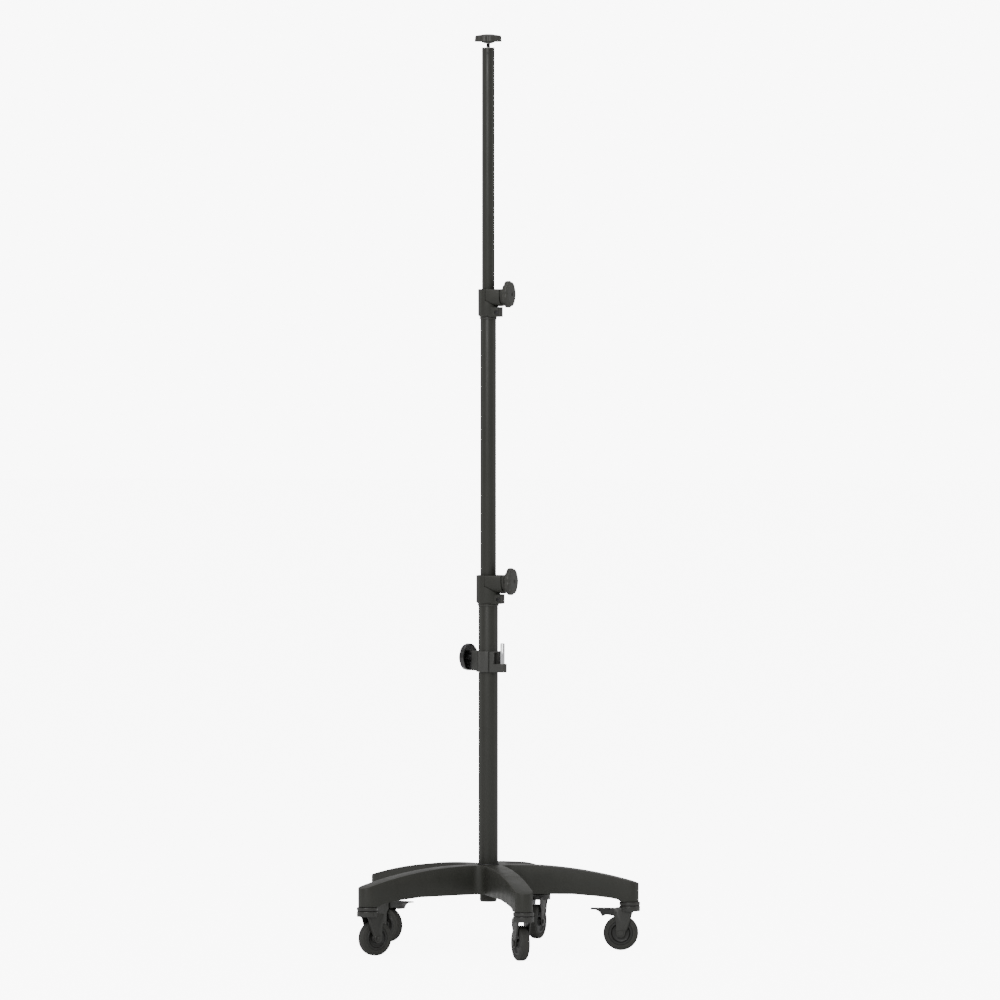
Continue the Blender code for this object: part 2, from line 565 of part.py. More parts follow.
def main():
    clear_scene()
    finishes = {
        "coat": material("charcoal_coat", (0.052, 0.052, 0.045), 0.45),
        "zinc": material("caster_zinc", (0.10, 0.10, 0.085), 0.40, 0.6),
        "steel": material("plain_steel", (0.35, 0.35, 0.34), 0.35, 1.0),
        "black_steel": material("black_steel", (0.04, 0.04, 0.04), 0.40, 0.8),
        "chrome": material("chrome", (0.85, 0.85, 0.86), 0.08, 1.0),
        "nylon": material("white_nylon", (0.60, 0.60, 0.56), 0.45),
        "tyre": material("grey_tyre", (0.11, 0.11, 0.095), 0.60),
        "core": material("dark_core", (0.03, 0.03, 0.028), 0.50),
        "knob": material("charcoal_knob", (0.060, 0.060, 0.052), 0.40),
        "black_knob": material("black_knob", (0.012, 0.012, 0.012), 0.25),
    }
    stand = empty("stand", None, (MAST_X, 0, 0))
    make_base(stand, finishes)
    for index in range(ARM_COUNT):
        make_caster(index, stand, finishes)
    make_mast(stand, finishes)
    make_collar("lower_collar", LOWER_COLLAR, stand, finishes)
    make_collar("upper_collar", UPPER_COLLAR, stand, finishes)
    make_accessory_clamp(stand, finishes)
    make_top_grip(stand, finishes)


main()
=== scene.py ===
"""Rolling telescopic stand: the detailed pieces, their finishes, the stage and the camera.

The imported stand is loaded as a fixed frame. Every piece here is in metres in that frame, rides on one
of its bodies and takes its place from the frame's own nodes and joints.
"""

import json
from math import atan2, cos, exp, pi, radians, sin, sqrt, tau

import bmesh
import bpy
from bpy.props import (
    FloatProperty, FloatVectorProperty, IntProperty, PointerProperty,
)
from mathutils import Matrix, Vector


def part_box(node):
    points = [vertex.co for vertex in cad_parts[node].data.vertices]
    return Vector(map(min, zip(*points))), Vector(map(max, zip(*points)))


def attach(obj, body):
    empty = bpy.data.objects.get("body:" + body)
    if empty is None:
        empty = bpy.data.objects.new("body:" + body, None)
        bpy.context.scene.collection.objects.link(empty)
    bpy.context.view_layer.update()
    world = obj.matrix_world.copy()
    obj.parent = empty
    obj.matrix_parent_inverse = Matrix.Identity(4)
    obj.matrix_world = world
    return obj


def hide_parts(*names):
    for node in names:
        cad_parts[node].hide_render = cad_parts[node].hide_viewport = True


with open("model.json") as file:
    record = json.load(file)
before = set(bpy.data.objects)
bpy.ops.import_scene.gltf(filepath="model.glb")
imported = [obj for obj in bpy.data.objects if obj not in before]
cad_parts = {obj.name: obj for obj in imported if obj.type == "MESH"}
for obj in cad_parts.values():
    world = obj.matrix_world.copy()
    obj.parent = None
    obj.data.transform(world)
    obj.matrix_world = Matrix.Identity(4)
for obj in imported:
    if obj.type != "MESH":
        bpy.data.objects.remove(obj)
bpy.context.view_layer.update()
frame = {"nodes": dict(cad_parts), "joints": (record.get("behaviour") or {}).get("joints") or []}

bl_info = {
    "name": "Rolling Telescopic Stand",
    "version": (1, 0, 0),
    "blender": (4, 5, 0),
    "location": "3D View > Sidebar > Stand",
    "description": "Builds the detailed pieces and finishes of a rolling telescopic stand",
    "category": "Add Mesh",
}

JOINTS = {joint["name"]: joint for joint in frame["joints"]}
LOW_TUBE, HIGH_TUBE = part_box("lower_tube"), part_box("upper_tube")
MAST = Vector(((LOW_TUBE[0].x + LOW_TUBE[1].x) / 2, (LOW_TUBE[0].y + LOW_TUBE[1].y) / 2, 0))
ARMS = 5
ARM_REACH = (Vector(JOINTS["caster_1_swivel_joint"]["pos_m"]).xy - MAST.xy).length
BRAKED = (1, 3)
KNOB_HEADING = atan2(*reversed(JOINTS["lower_collar_press"]["axis"][:2]))
CLAMP_HEADING = atan2(*reversed(JOINTS["accessory_press"]["axis"][:2]))
LOBES = 7
LOBE_PHASE = 0.25  # turn of the lobes, as a part of one lobe
LOBE_STEPS = 168  # segments round a lobed shape


# ---------------------------------------------------------------- settings

def length(name, description, default):
    return FloatProperty(
        name=name, description=description, default=default, unit="LENGTH", subtype="DISTANCE"
    )


def colour(name, description, default):
    return FloatVectorProperty(
        name=name, description=description, default=default, size=3, min=0, max=1, subtype="COLOR"
    )


class StandSizes(bpy.types.PropertyGroup):
    """Sizes of the details that finish the stand's pieces."""

    casting_round: length("Casting edge", "Radius of the rounded edges of the base casting", 0.0026)
    collar_round: length("Collar edge", "Radius of the rounded edges of the clamp bodies", 0.0014)
    plate_round: length("Plate edge", "Radius of the rounded edges of the pressed caster forks", 0.0007)
    tube_round: length("Tube edge", "Radius of the rounded ends of the tubes", 0.0006)
    rim_wall: length("Casting wall", "Wall left round the hollow under each arm", 0.0050)
    thread_pitch: length("Thread pitch", "Pitch of the thread on the grip's stem", 0.00125)
    thread_depth: length("Thread depth", "Depth of the thread on the grip's stem", 0.0005)
    round_steps: IntProperty(
        name="Round steps", description="Segments round a tube or a turned piece", default=96, min=24, max=256
    )


class StandColours(bpy.types.PropertyGroup):
    """Base colours of the stand's finishes."""

    coat: colour("Powder coat", "Base, tubes and clamp collars", (0.0265, 0.0268, 0.0228))
    clamp_coat: colour("Clamp coat", "Accessory clamp body", (0.046, 0.046, 0.043))
    caster_steel: colour("Caster steel", "Forks and swivel plates", (0.0180, 0.0180, 0.0155))
    tread: colour("Tread", "Tyres", (0.0230, 0.0230, 0.0200))
    core: colour("Wheel core", "Wheel cores and brake pedals", (0.0110, 0.0110, 0.0098))
    grip: colour("Grip", "Star knobs and the top grip", (0.0240, 0.0242, 0.0200))
    gloss: colour("Gloss grip", "The accessory clamp's star knob", (0.006, 0.006, 0.006))
    cap: colour("Grip cap", "The light cap on the top grip", (0.050, 0.050, 0.045))


class StandStage(bpy.types.PropertyGroup):
    """The camera, the floor and the lights."""

    camera_distance: length("Camera distance", "From the mast to the camera", 18.2)
    camera_height: length("Camera height", "Above the floor", 1.62)
    camera_turn: FloatProperty(
        name="Camera turn", description="Heading of the camera round the mast",
        default=radians(3.86), subtype="ANGLE",
    )
    aim_height: length("Aim height", "Height of the point in the middle of the view", 0.965)
    aim_aside: length("Aim aside", "From the mast to the middle of the view, to the right", 0.0252)
    lens: FloatProperty(name="Lens", description="Focal length", default=306.0, unit="CAMERA")
    floor_reach: length("Floor reach", "Half the width of the floor", 30.0)
    fill: FloatProperty(name="Fill light", description="Soft light from all round", default=0.57, min=0)
    backdrop: FloatProperty(
        name="Backdrop", description="Brightness of the empty backdrop", default=9.0, min=0
    )
    floor_glow: FloatProperty(
        name="Floor glow", description="Whiteness of the floor as seen", default=8.2, min=0
    )


# ---------------------------------------------------------------- shapes

def arc(centre, radius, start, end, steps):
    """Points along an arc in a plane, angles in radians, both ends included."""
    return [
        (centre[0] + radius * cos(start + (end - start) * i / steps),
         centre[1] + radius * sin(start + (end - start) * i / steps))
        for i in range(steps + 1)
    ]


def softened(points, radius, steps=3):
    """The same outline with each sharp corner cut by a small arc-like run of points."""
    made = []
    for i, here in enumerate(points):
        at = Vector(here)
        before, after = Vector(points[i - 1]) - at, Vector(points[(i + 1) % len(points)]) - at
        if before.length < 1e-7 or after.length < 1e-7 or before.angle(after) > radians(165):
            made.append(here)
            continue
        cut = min(radius, before.length * 0.45, after.length * 0.45)
        start, end = at + before.normalized() * cut, at + after.normalized() * cut
        for j in range(steps + 1):
            t = j / steps
            made.append(tuple(start * (1 - t) ** 2 + at * 2 * t * (1 - t) + end * t ** 2))
    return made


def turned(profile, segments):
    """Spins (radius, height) points round Z. A profile that starts and ends on the axis stays open there."""
    bm = bmesh.new()
    points = [bm.verts.new((r, 0, z)) for r, z in profile]
    on_axis = profile[0][0] == 0 and profile[-1][0] == 0
    pairs = list(zip(points, points[1:])) + ([] if on_axis else [(points[-1], points[0])])
    edges = [bm.edges.new(pair) for pair in pairs]
    bmesh.ops.spin(
        bm, geom=points + edges, axis=(0, 0, 1), cent=(0, 0, 0), steps=segments, angle=tau, use_merge=True
    )
    return settled(bm)


def rod(radius, bottom, top, segments=32):
    """A plain cylinder up Z."""
    return turned([(0, bottom), (radius, bottom), (radius, top), (0, top)], segments)


def settled(bm):
    """Welds what meets and turns the faces outward."""
    bmesh.ops.remove_doubles(bm, verts=bm.verts, dist=2e-6)
    bmesh.ops.recalc_face_normals(bm, faces=bm.faces)
    return bm


def stacked(segments, rings):
    """A closed shape grown ring by ring, each (reach, height). A reach may be a function of the angle."""
    bm = bmesh.new()
    bmesh.ops.create_circle(bm, cap_ends=True, segments=segments, radius=1)
    top = list(bm.faces)[0]

    def shape(face, reach, height):
        for vert in face.verts:
            angle = atan2(vert.co.y, vert.co.x)
            out = reach(angle) if callable(reach) else reach
            vert.co = (out * cos(angle), out * sin(angle), height)

    shape(top, *rings[0])
    first = True
    for reach, height in rings[1:]:
        grown = bmesh.ops.extrude_face_region(bm, geom=[top], use_keep_orig=first)["geom"]
        top = next(part for part in grown if isinstance(part, bmesh.types.BMFace))
        shape(top, reach, height)
        first = False
    return settled(bm)


def rectangle(across, along):
    """The corners of a rectangle, from its range of x and its range of y."""
    (x0, x1), (y0, y1) = across, along
    return [(x0, y0), (x1, y0), (x1, y1), (x0, y1)]


def prism(outline, bottom, top):
    """A solid extruded up Z from an outline of (x, y) points."""
    bm = bmesh.new()
    face = bm.faces.new([bm.verts.new((x, y, bottom)) for x, y in outline])
    raised = bmesh.ops.extrude_face_region(bm, geom=[face], use_keep_orig=True)["geom"]
    lifted = [part for part in raised if isinstance(part, bmesh.types.BMVert)]
    bmesh.ops.translate(bm, verts=lifted, vec=(0, 0, top - bottom))
    return settled(bm)


def rounded(bm, offset, segments=2, above=35, keep=None):
    """Bevels the edges whose faces meet at more than an angle."""
    sharp = [
        edge for edge in bm.edges
        if len(edge.link_faces) == 2 and edge.calc_face_angle(0) > radians(above)
        and (keep is None or keep(edge))
    ]
    bmesh.ops.bevel(
        bm, geom=sharp, offset=offset, offset_type="OFFSET", segments=segments, profile=0.5,
        affect="EDGES", clamp_overlap=True, material=-1,
    )
    return settled(bm)


def shifted(bm, matrix):
    """Moves a shape by a matrix, which may mirror it."""
    bmesh.ops.transform(bm, matrix=matrix, verts=bm.verts)
    if matrix.determinant() < 0:
        bmesh.ops.reverse_faces(bm, faces=bm.faces)
    return bm


def lying(bm, height=0.0):
    """Lays a shape made along +Z along +X, at a height."""
    return shifted(bm, Matrix.Translation((0, 0, height)) @ Matrix.Rotation(pi / 2, 4, "Y"))


def crosswise(bm, x=0.0, z=0.0):
    """Lays a shape made along +Z along -Y, through a point."""
    return shifted(bm, Matrix.Translation((x, 0, z)) @ Matrix.Rotation(pi / 2, 4, "X"))


def side_plate(outline, low, high):
    """A plate whose outline is (x, z) and which spans a range of y."""
    swap = Matrix(((1, 0, 0, 0), (0, 0, 1, 0), (0, 1, 0, 0), (0, 0, 0, 1)))
    return settled(shifted(prism(outline, low, high), swap))


def carved(bm, *steps):
    """Joins solids on, or cuts them out, in order: each step is ("UNION" or "DIFFERENCE", bmesh)."""
    def temporary(shape):
        mesh = bpy.data.meshes.new("carving")
        shape.to_mesh(mesh)
        shape.free()
        held = bpy.data.objects.new("carving", mesh)
        bpy.context.collection.objects.link(held)
        return held

    target = temporary(bm)
    helpers = []
    for operation, shape in steps:
        helper = temporary(shape)
        helpers.append(helper)
        modifier = target.modifiers.new(operation, "BOOLEAN")
        modifier.operation = operation
        modifier.solver = "EXACT"
        modifier.object = helper
    shown = target.evaluated_get(bpy.context.evaluated_depsgraph_get())
    made = bmesh.new()
    made.from_mesh(shown.to_mesh())
    shown.to_mesh_clear()
    for held in [target] + helpers:
        mesh = held.data
        bpy.data.objects.remove(held)
        bpy.data.meshes.remove(mesh)
    bmesh.ops.dissolve_degenerate(made, dist=1e-6, edges=made.edges)
    return settled(made)


def lobe_reach(radius, depth=1.0):
    """How far a star knob's edge reaches at an angle: broad lobes with a shallow notch between each two."""
    def reach(angle):
        off = (angle * LOBES / tau + LOBE_PHASE) % 1 - 0.5
        cut = 0.075 * exp(-(off / 0.15) ** 2) + 0.012 * (1 - (2 * off) ** 2)
        return radius * (1 - cut * depth)

    return reach


def add_piece(name, bm, finish, body, nodes=(), place=None, smooth=38):
    """Makes a finished object at the origin, in the stand's frame, that rides on a body."""
    if place is not None:
        bmesh.ops.transform(bm, matrix=place, verts=bm.verts)
    mesh = bpy.data.meshes.new(name)
    bm.to_mesh(mesh)
    bm.free()
    mesh.shade_smooth()
    mesh.set_sharp_from_angle(angle=radians(smooth))
    mesh.materials.append(finish)
    piece = bpy.data.objects.new(name, mesh)
    bpy.context.collection.objects.link(piece)
    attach(piece, body)
    if nodes:
        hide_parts(*nodes)


def at_mast(turn=0.0):
    """The matrix that puts a shape made round Z on the mast's axis, turned to a heading."""
    return Matrix.Translation(MAST) @ Matrix.Rotation(turn, 4, "Z")


# ---------------------------------------------------------------- finishes

class Finish:
    """A node material read from object coordinates, with helpers for layers of noise."""

    def __init__(self, name, base, roughness, metallic=0.0, specular=0.5):
        self.material = bpy.data.materials.get(name) or bpy.data.materials.new(name)
        self.material.use_nodes = True
        self.tree = self.material.node_tree
        self.tree.nodes.clear()
        self.shader = self.node("ShaderNodeBsdfPrincipled")
        output = self.node("ShaderNodeOutputMaterial")
        self.link(self.shader.outputs["BSDF"], output.inputs["Surface"])
        self.where = self.node("ShaderNodeTexCoord").outputs["Object"]
        self.base = tuple(base)
        self.shader.inputs["Base Color"].default_value = (*base, 1)
        self.shader.inputs["Roughness"].default_value = roughness
        self.shader.inputs["Metallic"].default_value = metallic
        self.shader.inputs["Specular IOR Level"].default_value = specular
        self.bump_from = None

    def node(self, kind):
        return self.tree.nodes.new(kind)

    def link(self, source, target):
        self.tree.links.new(source, target)

    def stretched(self, scale):
        mapping = self.node("ShaderNodeMapping")
        mapping.inputs["Scale"].default_value = scale
        self.link(self.where, mapping.inputs["Vector"])
        return mapping.outputs["Vector"]

    def noise(self, grain, detail=3.0, rough=0.55, scale=(1, 1, 1)):
        """Noise whose features are about a grain across, in metres."""
        made = self.node("ShaderNodeTexNoise")
        made.inputs["Scale"].default_value = 1 / grain
        made.inputs["Detail"].default_value = detail
        made.inputs["Roughness"].default_value = rough
        self.link(self.stretched(scale), made.inputs["Vector"])
        return made.outputs["Fac"]

    def cells(self, grain):
        made = self.node("ShaderNodeTexVoronoi")
        made.feature = "SMOOTH_F1"
        made.inputs["Scale"].default_value = 1 / grain
        self.link(self.stretched((1, 1, 1)), made.inputs["Vector"])
        return made.outputs["Distance"]

    def ranged(self, source, low, high, to_low, to_high):
        made = self.node("ShaderNodeMapRange")
        for key, value in (("From Min", low), ("From Max", high), ("To Min", to_low), ("To Max", to_high)):
            made.inputs[key].default_value = value
        self.link(source, made.inputs["Value"])
        return made.outputs["Result"]

    def tint(self, factor, second):
        """Mixes a second colour over the base by a factor."""
        mix = self.node("ShaderNodeMix")
        mix.data_type = "RGBA"
        self.link(factor, mix.inputs["Factor"])
        socket = self.shader.inputs["Base Color"]
        if socket.is_linked:
            self.link(socket.links[0].from_socket, mix.inputs["A"])
        else:
            mix.inputs["A"].default_value = (*self.base, 1)
        mix.inputs["B"].default_value = (*second, 1)
        self.link(mix.outputs["Result"], socket)

    def roughen(self, source, low, high, to_low, to_high):
        self.link(self.ranged(source, low, high, to_low, to_high), self.shader.inputs["Roughness"])

    def bump(self, source, depth, strength=1.0):
        """Adds a layer of relief, its depth in metres."""
        made = self.node("ShaderNodeBump")
        made.inputs["Distance"].default_value = depth
        made.inputs["Strength"].default_value = strength
        self.link(source, made.inputs["Height"])
        if self.bump_from is not None:
            self.link(self.bump_from, made.inputs["Normal"])
        self.bump_from = made.outputs["Normal"]
        self.link(self.bump_from, self.shader.inputs["Normal"])


def shade(rgb, factor):
    """A lighter or darker step of a colour."""
    return tuple(min(channel * factor, 1) for channel in rgb)


def powder_coat(name, base, grain=0.0011, relief=0.00004, roughness=0.36):
    """Baked powder over cast or drawn metal: fine orange peel, faint clouding and a few dull rubs."""
    made = Finish(name, base, roughness, specular=0.30)
    made.tint(made.ranged(made.noise(0.09, 4), 0.35, 0.68, 0, 0.55), shade(base, 1.22))
    made.tint(made.ranged(made.noise(0.0016, 2), 0.52, 0.72, 0, 0.5), shade(base, 0.72))
    rubs = made.noise(0.035, 6, 0.7, (1, 1, 0.35))
    made.tint(made.ranged(rubs, 0.60, 0.74, 0, 0.5), shade(base, 1.6))
    made.roughen(rubs, 0.35, 0.7, roughness - 0.05, roughness + 0.12)
    made.bump(made.cells(grain), relief, 0.55)
    made.bump(made.noise(grain * 5, 2), relief * 1.2, 0.35)
    return made.material


def painted_steel(name, base):
    """Thin paint on pressed steel: smooth, with faint drawing lines and small nicks."""
    made = Finish(name, base, 0.36, specular=0.55)
    made.tint(made.ranged(made.noise(0.02, 4), 0.4, 0.7, 0, 0.5), shade(base, 1.3))
    nicks = made.noise(0.004, 5, 0.75)
    made.tint(made.ranged(nicks, 0.66, 0.72, 0, 0.7), shade(base, 2.4))
    made.roughen(nicks, 0.4, 0.7, 0.32, 0.5)
    made.bump(made.noise(0.0009, 2), 0.00006, 0.5)
    return made.material


def bare_steel(name, base, roughness=0.3):
    """Turned and plated steel: rings of tool marks and a soft tarnish."""
    made = Finish(name, base, roughness, metallic=1.0)
    made.tint(made.ranged(made.noise(0.012, 4), 0.4, 0.7, 0, 0.45), shade(base, 0.62))
    made.roughen(made.noise(0.0012, 4, 0.6, (0.2, 0.2, 6)), 0.3, 0.7, roughness - 0.06, roughness + 0.14)
    made.bump(made.noise(0.0008, 3, 0.6, (0.2, 0.2, 6)), 0.00003, 0.6)
    return made.material


def polished(name, base):
    """Bright plating with a trace of handling marks."""
    made = Finish(name, base, 0.10, metallic=1.0)
    made.roughen(made.noise(0.006, 5, 0.65), 0.35, 0.75, 0.07, 0.20)
    made.tint(made.ranged(made.noise(0.02, 3), 0.4, 0.75, 0, 0.3), shade(base, 0.75))
    made.bump(made.noise(0.003, 3), 0.00002, 0.4)
    return made.material


def moulded(name, base, roughness, spark=0.0007, relief=0.00009):
    """Moulded polymer with a fine spark-eroded grain."""
    made = Finish(name, base, roughness, specular=0.5)
    made.tint(made.ranged(made.noise(0.018, 3), 0.38, 0.7, 0, 0.5), shade(base, 1.28))
    wear = made.noise(0.007, 5, 0.7)
    made.tint(made.ranged(wear, 0.62, 0.76, 0, 0.55), shade(base, 1.7))
    made.roughen(wear, 0.35, 0.7, roughness - 0.07, roughness + 0.10)
    made.bump(made.cells(spark), relief, 0.5)
    return made.material


def gloss_moulded(name, base):
    """Glossy moulded polymer: a clear skin over a slightly wavy surface, with fine hairlines."""
    made = Finish(name, base, 0.16, specular=0.6)
    made.shader.inputs["Coat Weight"].default_value = 0.35
    made.shader.inputs["Coat Roughness"].default_value = 0.08
    made.tint(made.ranged(made.noise(0.01, 3), 0.42, 0.7, 0, 0.5), shade(base, 1.8))
    made.roughen(made.noise(0.002, 5, 0.7, (1, 1, 5)), 0.35, 0.75, 0.12, 0.30)
    made.bump(made.noise(0.006, 2), 0.00008, 0.4)
    return made.material


def tread_rubber(name, base):
    """Grey tread: dull, dusty and finely pitted."""
    made = Finish(name, base, 0.62, specular=0.4)
    made.tint(made.ranged(made.noise(0.012, 4), 0.4, 0.7, 0, 0.6), shade(base, 1.35))
    dust = made.noise(0.0025, 5, 0.75)
    made.tint(made.ranged(dust, 0.56, 0.74, 0, 0.55), shade(base, 1.9))
    made.roughen(dust, 0.3, 0.7, 0.52, 0.74)
    made.bump(dust, 0.0002, 0.5)
    made.bump(made.cells(0.0006), 0.00008, 0.4)
    return made.material


def finishes(context):
    """Every finish by its name, made from the colours the user has set."""
    tones = context.scene.stand_colours
    return {
        "coat": powder_coat("charcoal_powder_coat", tones.coat),
        "casting": powder_coat("charcoal_cast_coat", tones.coat, 0.0019, 0.00007, 0.38),
        "clamp_coat": powder_coat("charcoal_clamp_coat", tones.clamp_coat, 0.0015, 0.00005, 0.38),
        "caster_steel": painted_steel("caster_steel_paint", tones.caster_steel),
        "plain_steel": bare_steel("turned_steel", (0.42, 0.42, 0.41)),
        "black_steel": bare_steel("black_oxide_steel", (0.075, 0.075, 0.076), 0.42),
        "chrome": polished("polished_stud", (0.83, 0.83, 0.84)),
        "nylon": moulded("natural_nylon", (0.52, 0.51, 0.46), 0.42),
        "tread": tread_rubber("grey_tread", tones.tread),
        "core": moulded("dark_core_polymer", tones.core, 0.42),
        "grip": moulded("charcoal_grip_polymer", tones.grip, 0.46),
        "gloss_grip": gloss_moulded("black_gloss_polymer", tones.gloss),
        "cap": moulded("pale_cap_polymer", tones.cap, 0.34),
        "liner": moulded("black_rubber_liner", (0.003, 0.003, 0.003), 0.62, 0.0009, 0.00012),
    }


# ---------------------------------------------------------------- base

ARM_ROOT, ARM_HALF = 0.060, 0.0195  # where an arm leaves the hub, and half its width
HUB_TOP, ARCH_RADIUS, HUB_FILLET = 0.183, 0.911, 0.0185
HOLLOW = (0.068, 0.262)  # the range of the hollow along an arm
UNDERSIDE = ((0.183, 0.121), (0.233, 0.117), (0.265, 0.113), (0.279, 0.110), (0.2855, 0.105))


def arm_top(along):
    """Height of the arched top at a distance along an arm."""
    run = max(along - ARM_ROOT, 0)
    return HUB_TOP - (ARCH_RADIUS - sqrt(ARCH_RADIUS ** 2 - run ** 2))


def arm_bottom(along):
    """Height of the underside at a distance along an arm, down to the caster's boss."""
    if along <= UNDERSIDE[0][0]:
        return UNDERSIDE[0][1]
    for (r0, z0), (r1, z1) in zip(UNDERSIDE, UNDERSIDE[1:]):
        if along <= r1:
            return z0 + (z1 - z0) * (along - r0) / (r1 - r0)
    return UNDERSIDE[-1][1]


def base_casting(sizes):
    """The star: a hub face and five arm faces, extruded, cut across at stations and bent to the arch."""
    half, step, root, fillet = ARM_HALF, pi / ARMS, ARM_ROOT, HUB_FILLET
    fillet_at = (half + fillet) / sin(step)
    bm = bmesh.new()
    hub = []
    for i in range(ARMS):
        turn = Matrix.Rotation(tau * i / ARMS, 3, "Z")
        low, high = (bm.verts.new(turn @ Vector((root, side * half, 0))) for side in (-1, 1))
        tip = arc((ARM_REACH, 0), half, -pi / 2, pi / 2, 24)
        bm.faces.new([low] + [bm.verts.new(turn @ Vector((x, y, 0))) for x, y in tip] + [high])
        hub += [low, high]
        centre = (fillet_at * cos(step), fillet_at * sin(step))
        curve = arc(centre, fillet, -pi / 2, -pi / 2 - (pi - 2 * step), 10)
        hub += [bm.verts.new(turn @ Vector((x, y, 0))) for x, y in curve]
    bm.faces.new(hub)
    raised = bmesh.ops.extrude_face_region(bm, geom=list(bm.faces), use_keep_orig=True)["geom"]
    tops = [part for part in raised if isinstance(part, bmesh.types.BMVert)]
    bmesh.ops.translate(bm, verts=tops, vec=(0, 0, 1))
    settled(bm)

    stations = [root + (ARM_REACH - root) * i / 26 for i in range(1, 26)]
    stations += [point[0] for point in UNDERSIDE] + [ARM_REACH + 0.001 * k for k in (0, 6, 11, 15)]
    for i in range(ARMS):
        out = Vector((cos(tau * i / ARMS), sin(tau * i / ARMS), 0))
        for along in stations:
            arm = [f for f in bm.faces if f.calc_center_median().dot(out) > root
                   and abs(f.calc_center_median().cross(out).z) < half * 1.2]
            edges = list({edge for face in arm for edge in face.edges})
            verts = list({vert for face in arm for vert in face.verts})
            bmesh.ops.bisect_plane(
                bm, geom=verts + edges + arm, plane_co=out * along, plane_no=out, dist=1e-6
            )
    for vert in bm.verts:
        heading = round(atan2(vert.co.y, vert.co.x) / (tau / ARMS)) * tau / ARMS
        along = vert.co.x * cos(heading) + vert.co.y * sin(heading)
        vert.co.z = arm_top(along) if vert.co.z > 0.5 else arm_bottom(along)
    settled(bm)
    rounded(bm, sizes.casting_round, 3, 50)

    socket = turned([(0, 0.11), (0.0064, 0.11), (0.0064, 0.127), (0.0213, 0.127), (0.0213, 0.1815),
                     (0.0225, 0.1835), (0.0225, 0.195), (0, 0.195)], sizes.round_steps)
    cuts = [("DIFFERENCE", socket)]
    start, end = HOLLOW
    roof = [end - (end - start) * k / 8 for k in range(9)]
    side = [(start, 0.09), (end, 0.09)] + [(along, arm_top(along) - sizes.rim_wall * 1.4) for along in roof]
    for i in range(ARMS):
        turn = Matrix.Rotation(tau * i / ARMS, 4, "Z")
        pin_hole = rod(0.0058, 0.09, 0.136)
        cuts.append(("DIFFERENCE", shifted(pin_hole, turn @ Matrix.Translation((ARM_REACH, 0, 0)))))
        channel = side_plate(side, -half + sizes.rim_wall, half - sizes.rim_wall)
        channel = rounded(channel, 0.004, 4, 60, lambda e: max(v.co.z for v in e.verts) > 0.1)
        cuts.append(("DIFFERENCE", shifted(channel, turn)))
    return carved(bm, *cuts)


class STAND_OT_base(bpy.types.Operator):
    """Model the five-arm cast base with its arched arms, caster bosses and hollow underside"""

    bl_idname = "stand.base"
    bl_label = "Base"

    def execute(self, context):
        sizes, finish = context.scene.stand_sizes, finishes(context)
        casting = base_casting(sizes)
        add_piece("cast_base", casting, finish["casting"], "base", ["base_casting"], at_mast())
        section = softened([(0.0216, 0.1832), (0.0236, 0.1832), (0.0236, 0.1846), (0.0216, 0.1852)], 0.0005)
        seal = turned(section, sizes.round_steps)
        add_piece("mast_foot_seal", seal, finish["black_steel"], "base", (), at_mast())
        return {"FINISHED"}


# ---------------------------------------------------------------- casters

FORK_INNER, FORK_OUTER = 0.0120, 0.0146
CROWN_BOTTOM, CROWN_TOP = 0.0842, 0.0960
TRAIL, WHEEL_HEIGHT = 0.019, 0.0375
PEDAL_PIVOT = (-0.0290, 0.0815)


def caster_place(index):
    """The matrix that puts a shape made round the swivel axis, +X outward, at one of the casters."""
    swivel = Vector(JOINTS[f"caster_{index}_swivel_joint"]["pos_m"])
    roller = Vector(JOINTS[f"caster_{index}_roll_joint"]["pos_m"])
    out = swivel - roller
    return Matrix.Translation((swivel.x, swivel.y, 0)) @ Matrix.Rotation(atan2(out.y, out.x), 4, "Z")


def caster_stem():
    """Race plate, kingpin and the pin up into the arm."""
    seat = CROWN_BOTTOM + 0.0045
    plate = arc((0.0211, 0.0980), 0.0012, -pi / 2, 0, 4) + arc((0.0205, 0.1024), 0.0018, 0, pi / 2, 5)
    profile = [(0, CROWN_BOTTOM + 0.0006), (0.0062, CROWN_BOTTOM + 0.0006), (0.0078, CROWN_BOTTOM + 0.0020)]
    profile += [(0.0078, seat - 0.0003), (0.0050, seat - 0.0003), (0.0050, 0.0968), (0.0190, 0.0968)]
    profile += plate + [(0.0120, 0.1042), (0.0105, 0.1046), (0.0090, 0.1047), (0.0055, 0.1047)]
    profile += [(0.0055, 0.1335), (0.0045, 0.1345), (0, 0.1345)]
    return turned(profile, 64)


def caster_leg(low, high, sizes):
    """One cheek of the fork, from under the crown down round the axle."""
    foot = (-TRAIL, WHEEL_HEIGHT)
    outline = [(0.0160, 0.0920), (0.0162, 0.0872), (0.0136, 0.0850), (0.0095, 0.0838), (0.0066, 0.0812)]
    outline += [(0.0048, 0.0770), (0.0034, 0.0725), (0.0018, 0.0660), (-0.0002, 0.0590), (-0.0026, 0.0515)]
    outline += [(-0.0052, 0.0455)] + arc(foot, 0.0099, radians(12), radians(-180), 22)
    outline += [(-0.0290, 0.0480), (-0.0292, 0.0600), (-0.0305, 0.0668), (-0.0332, 0.0712), (-0.0346, 0.0752)]
    outline += [(-0.0346, 0.0862), (-0.0330, 0.0893), (-0.0290, 0.0908), (-0.0160, 0.0920)]
    return rounded(side_plate(outline, low, high), sizes.plate_round, 2, 60)


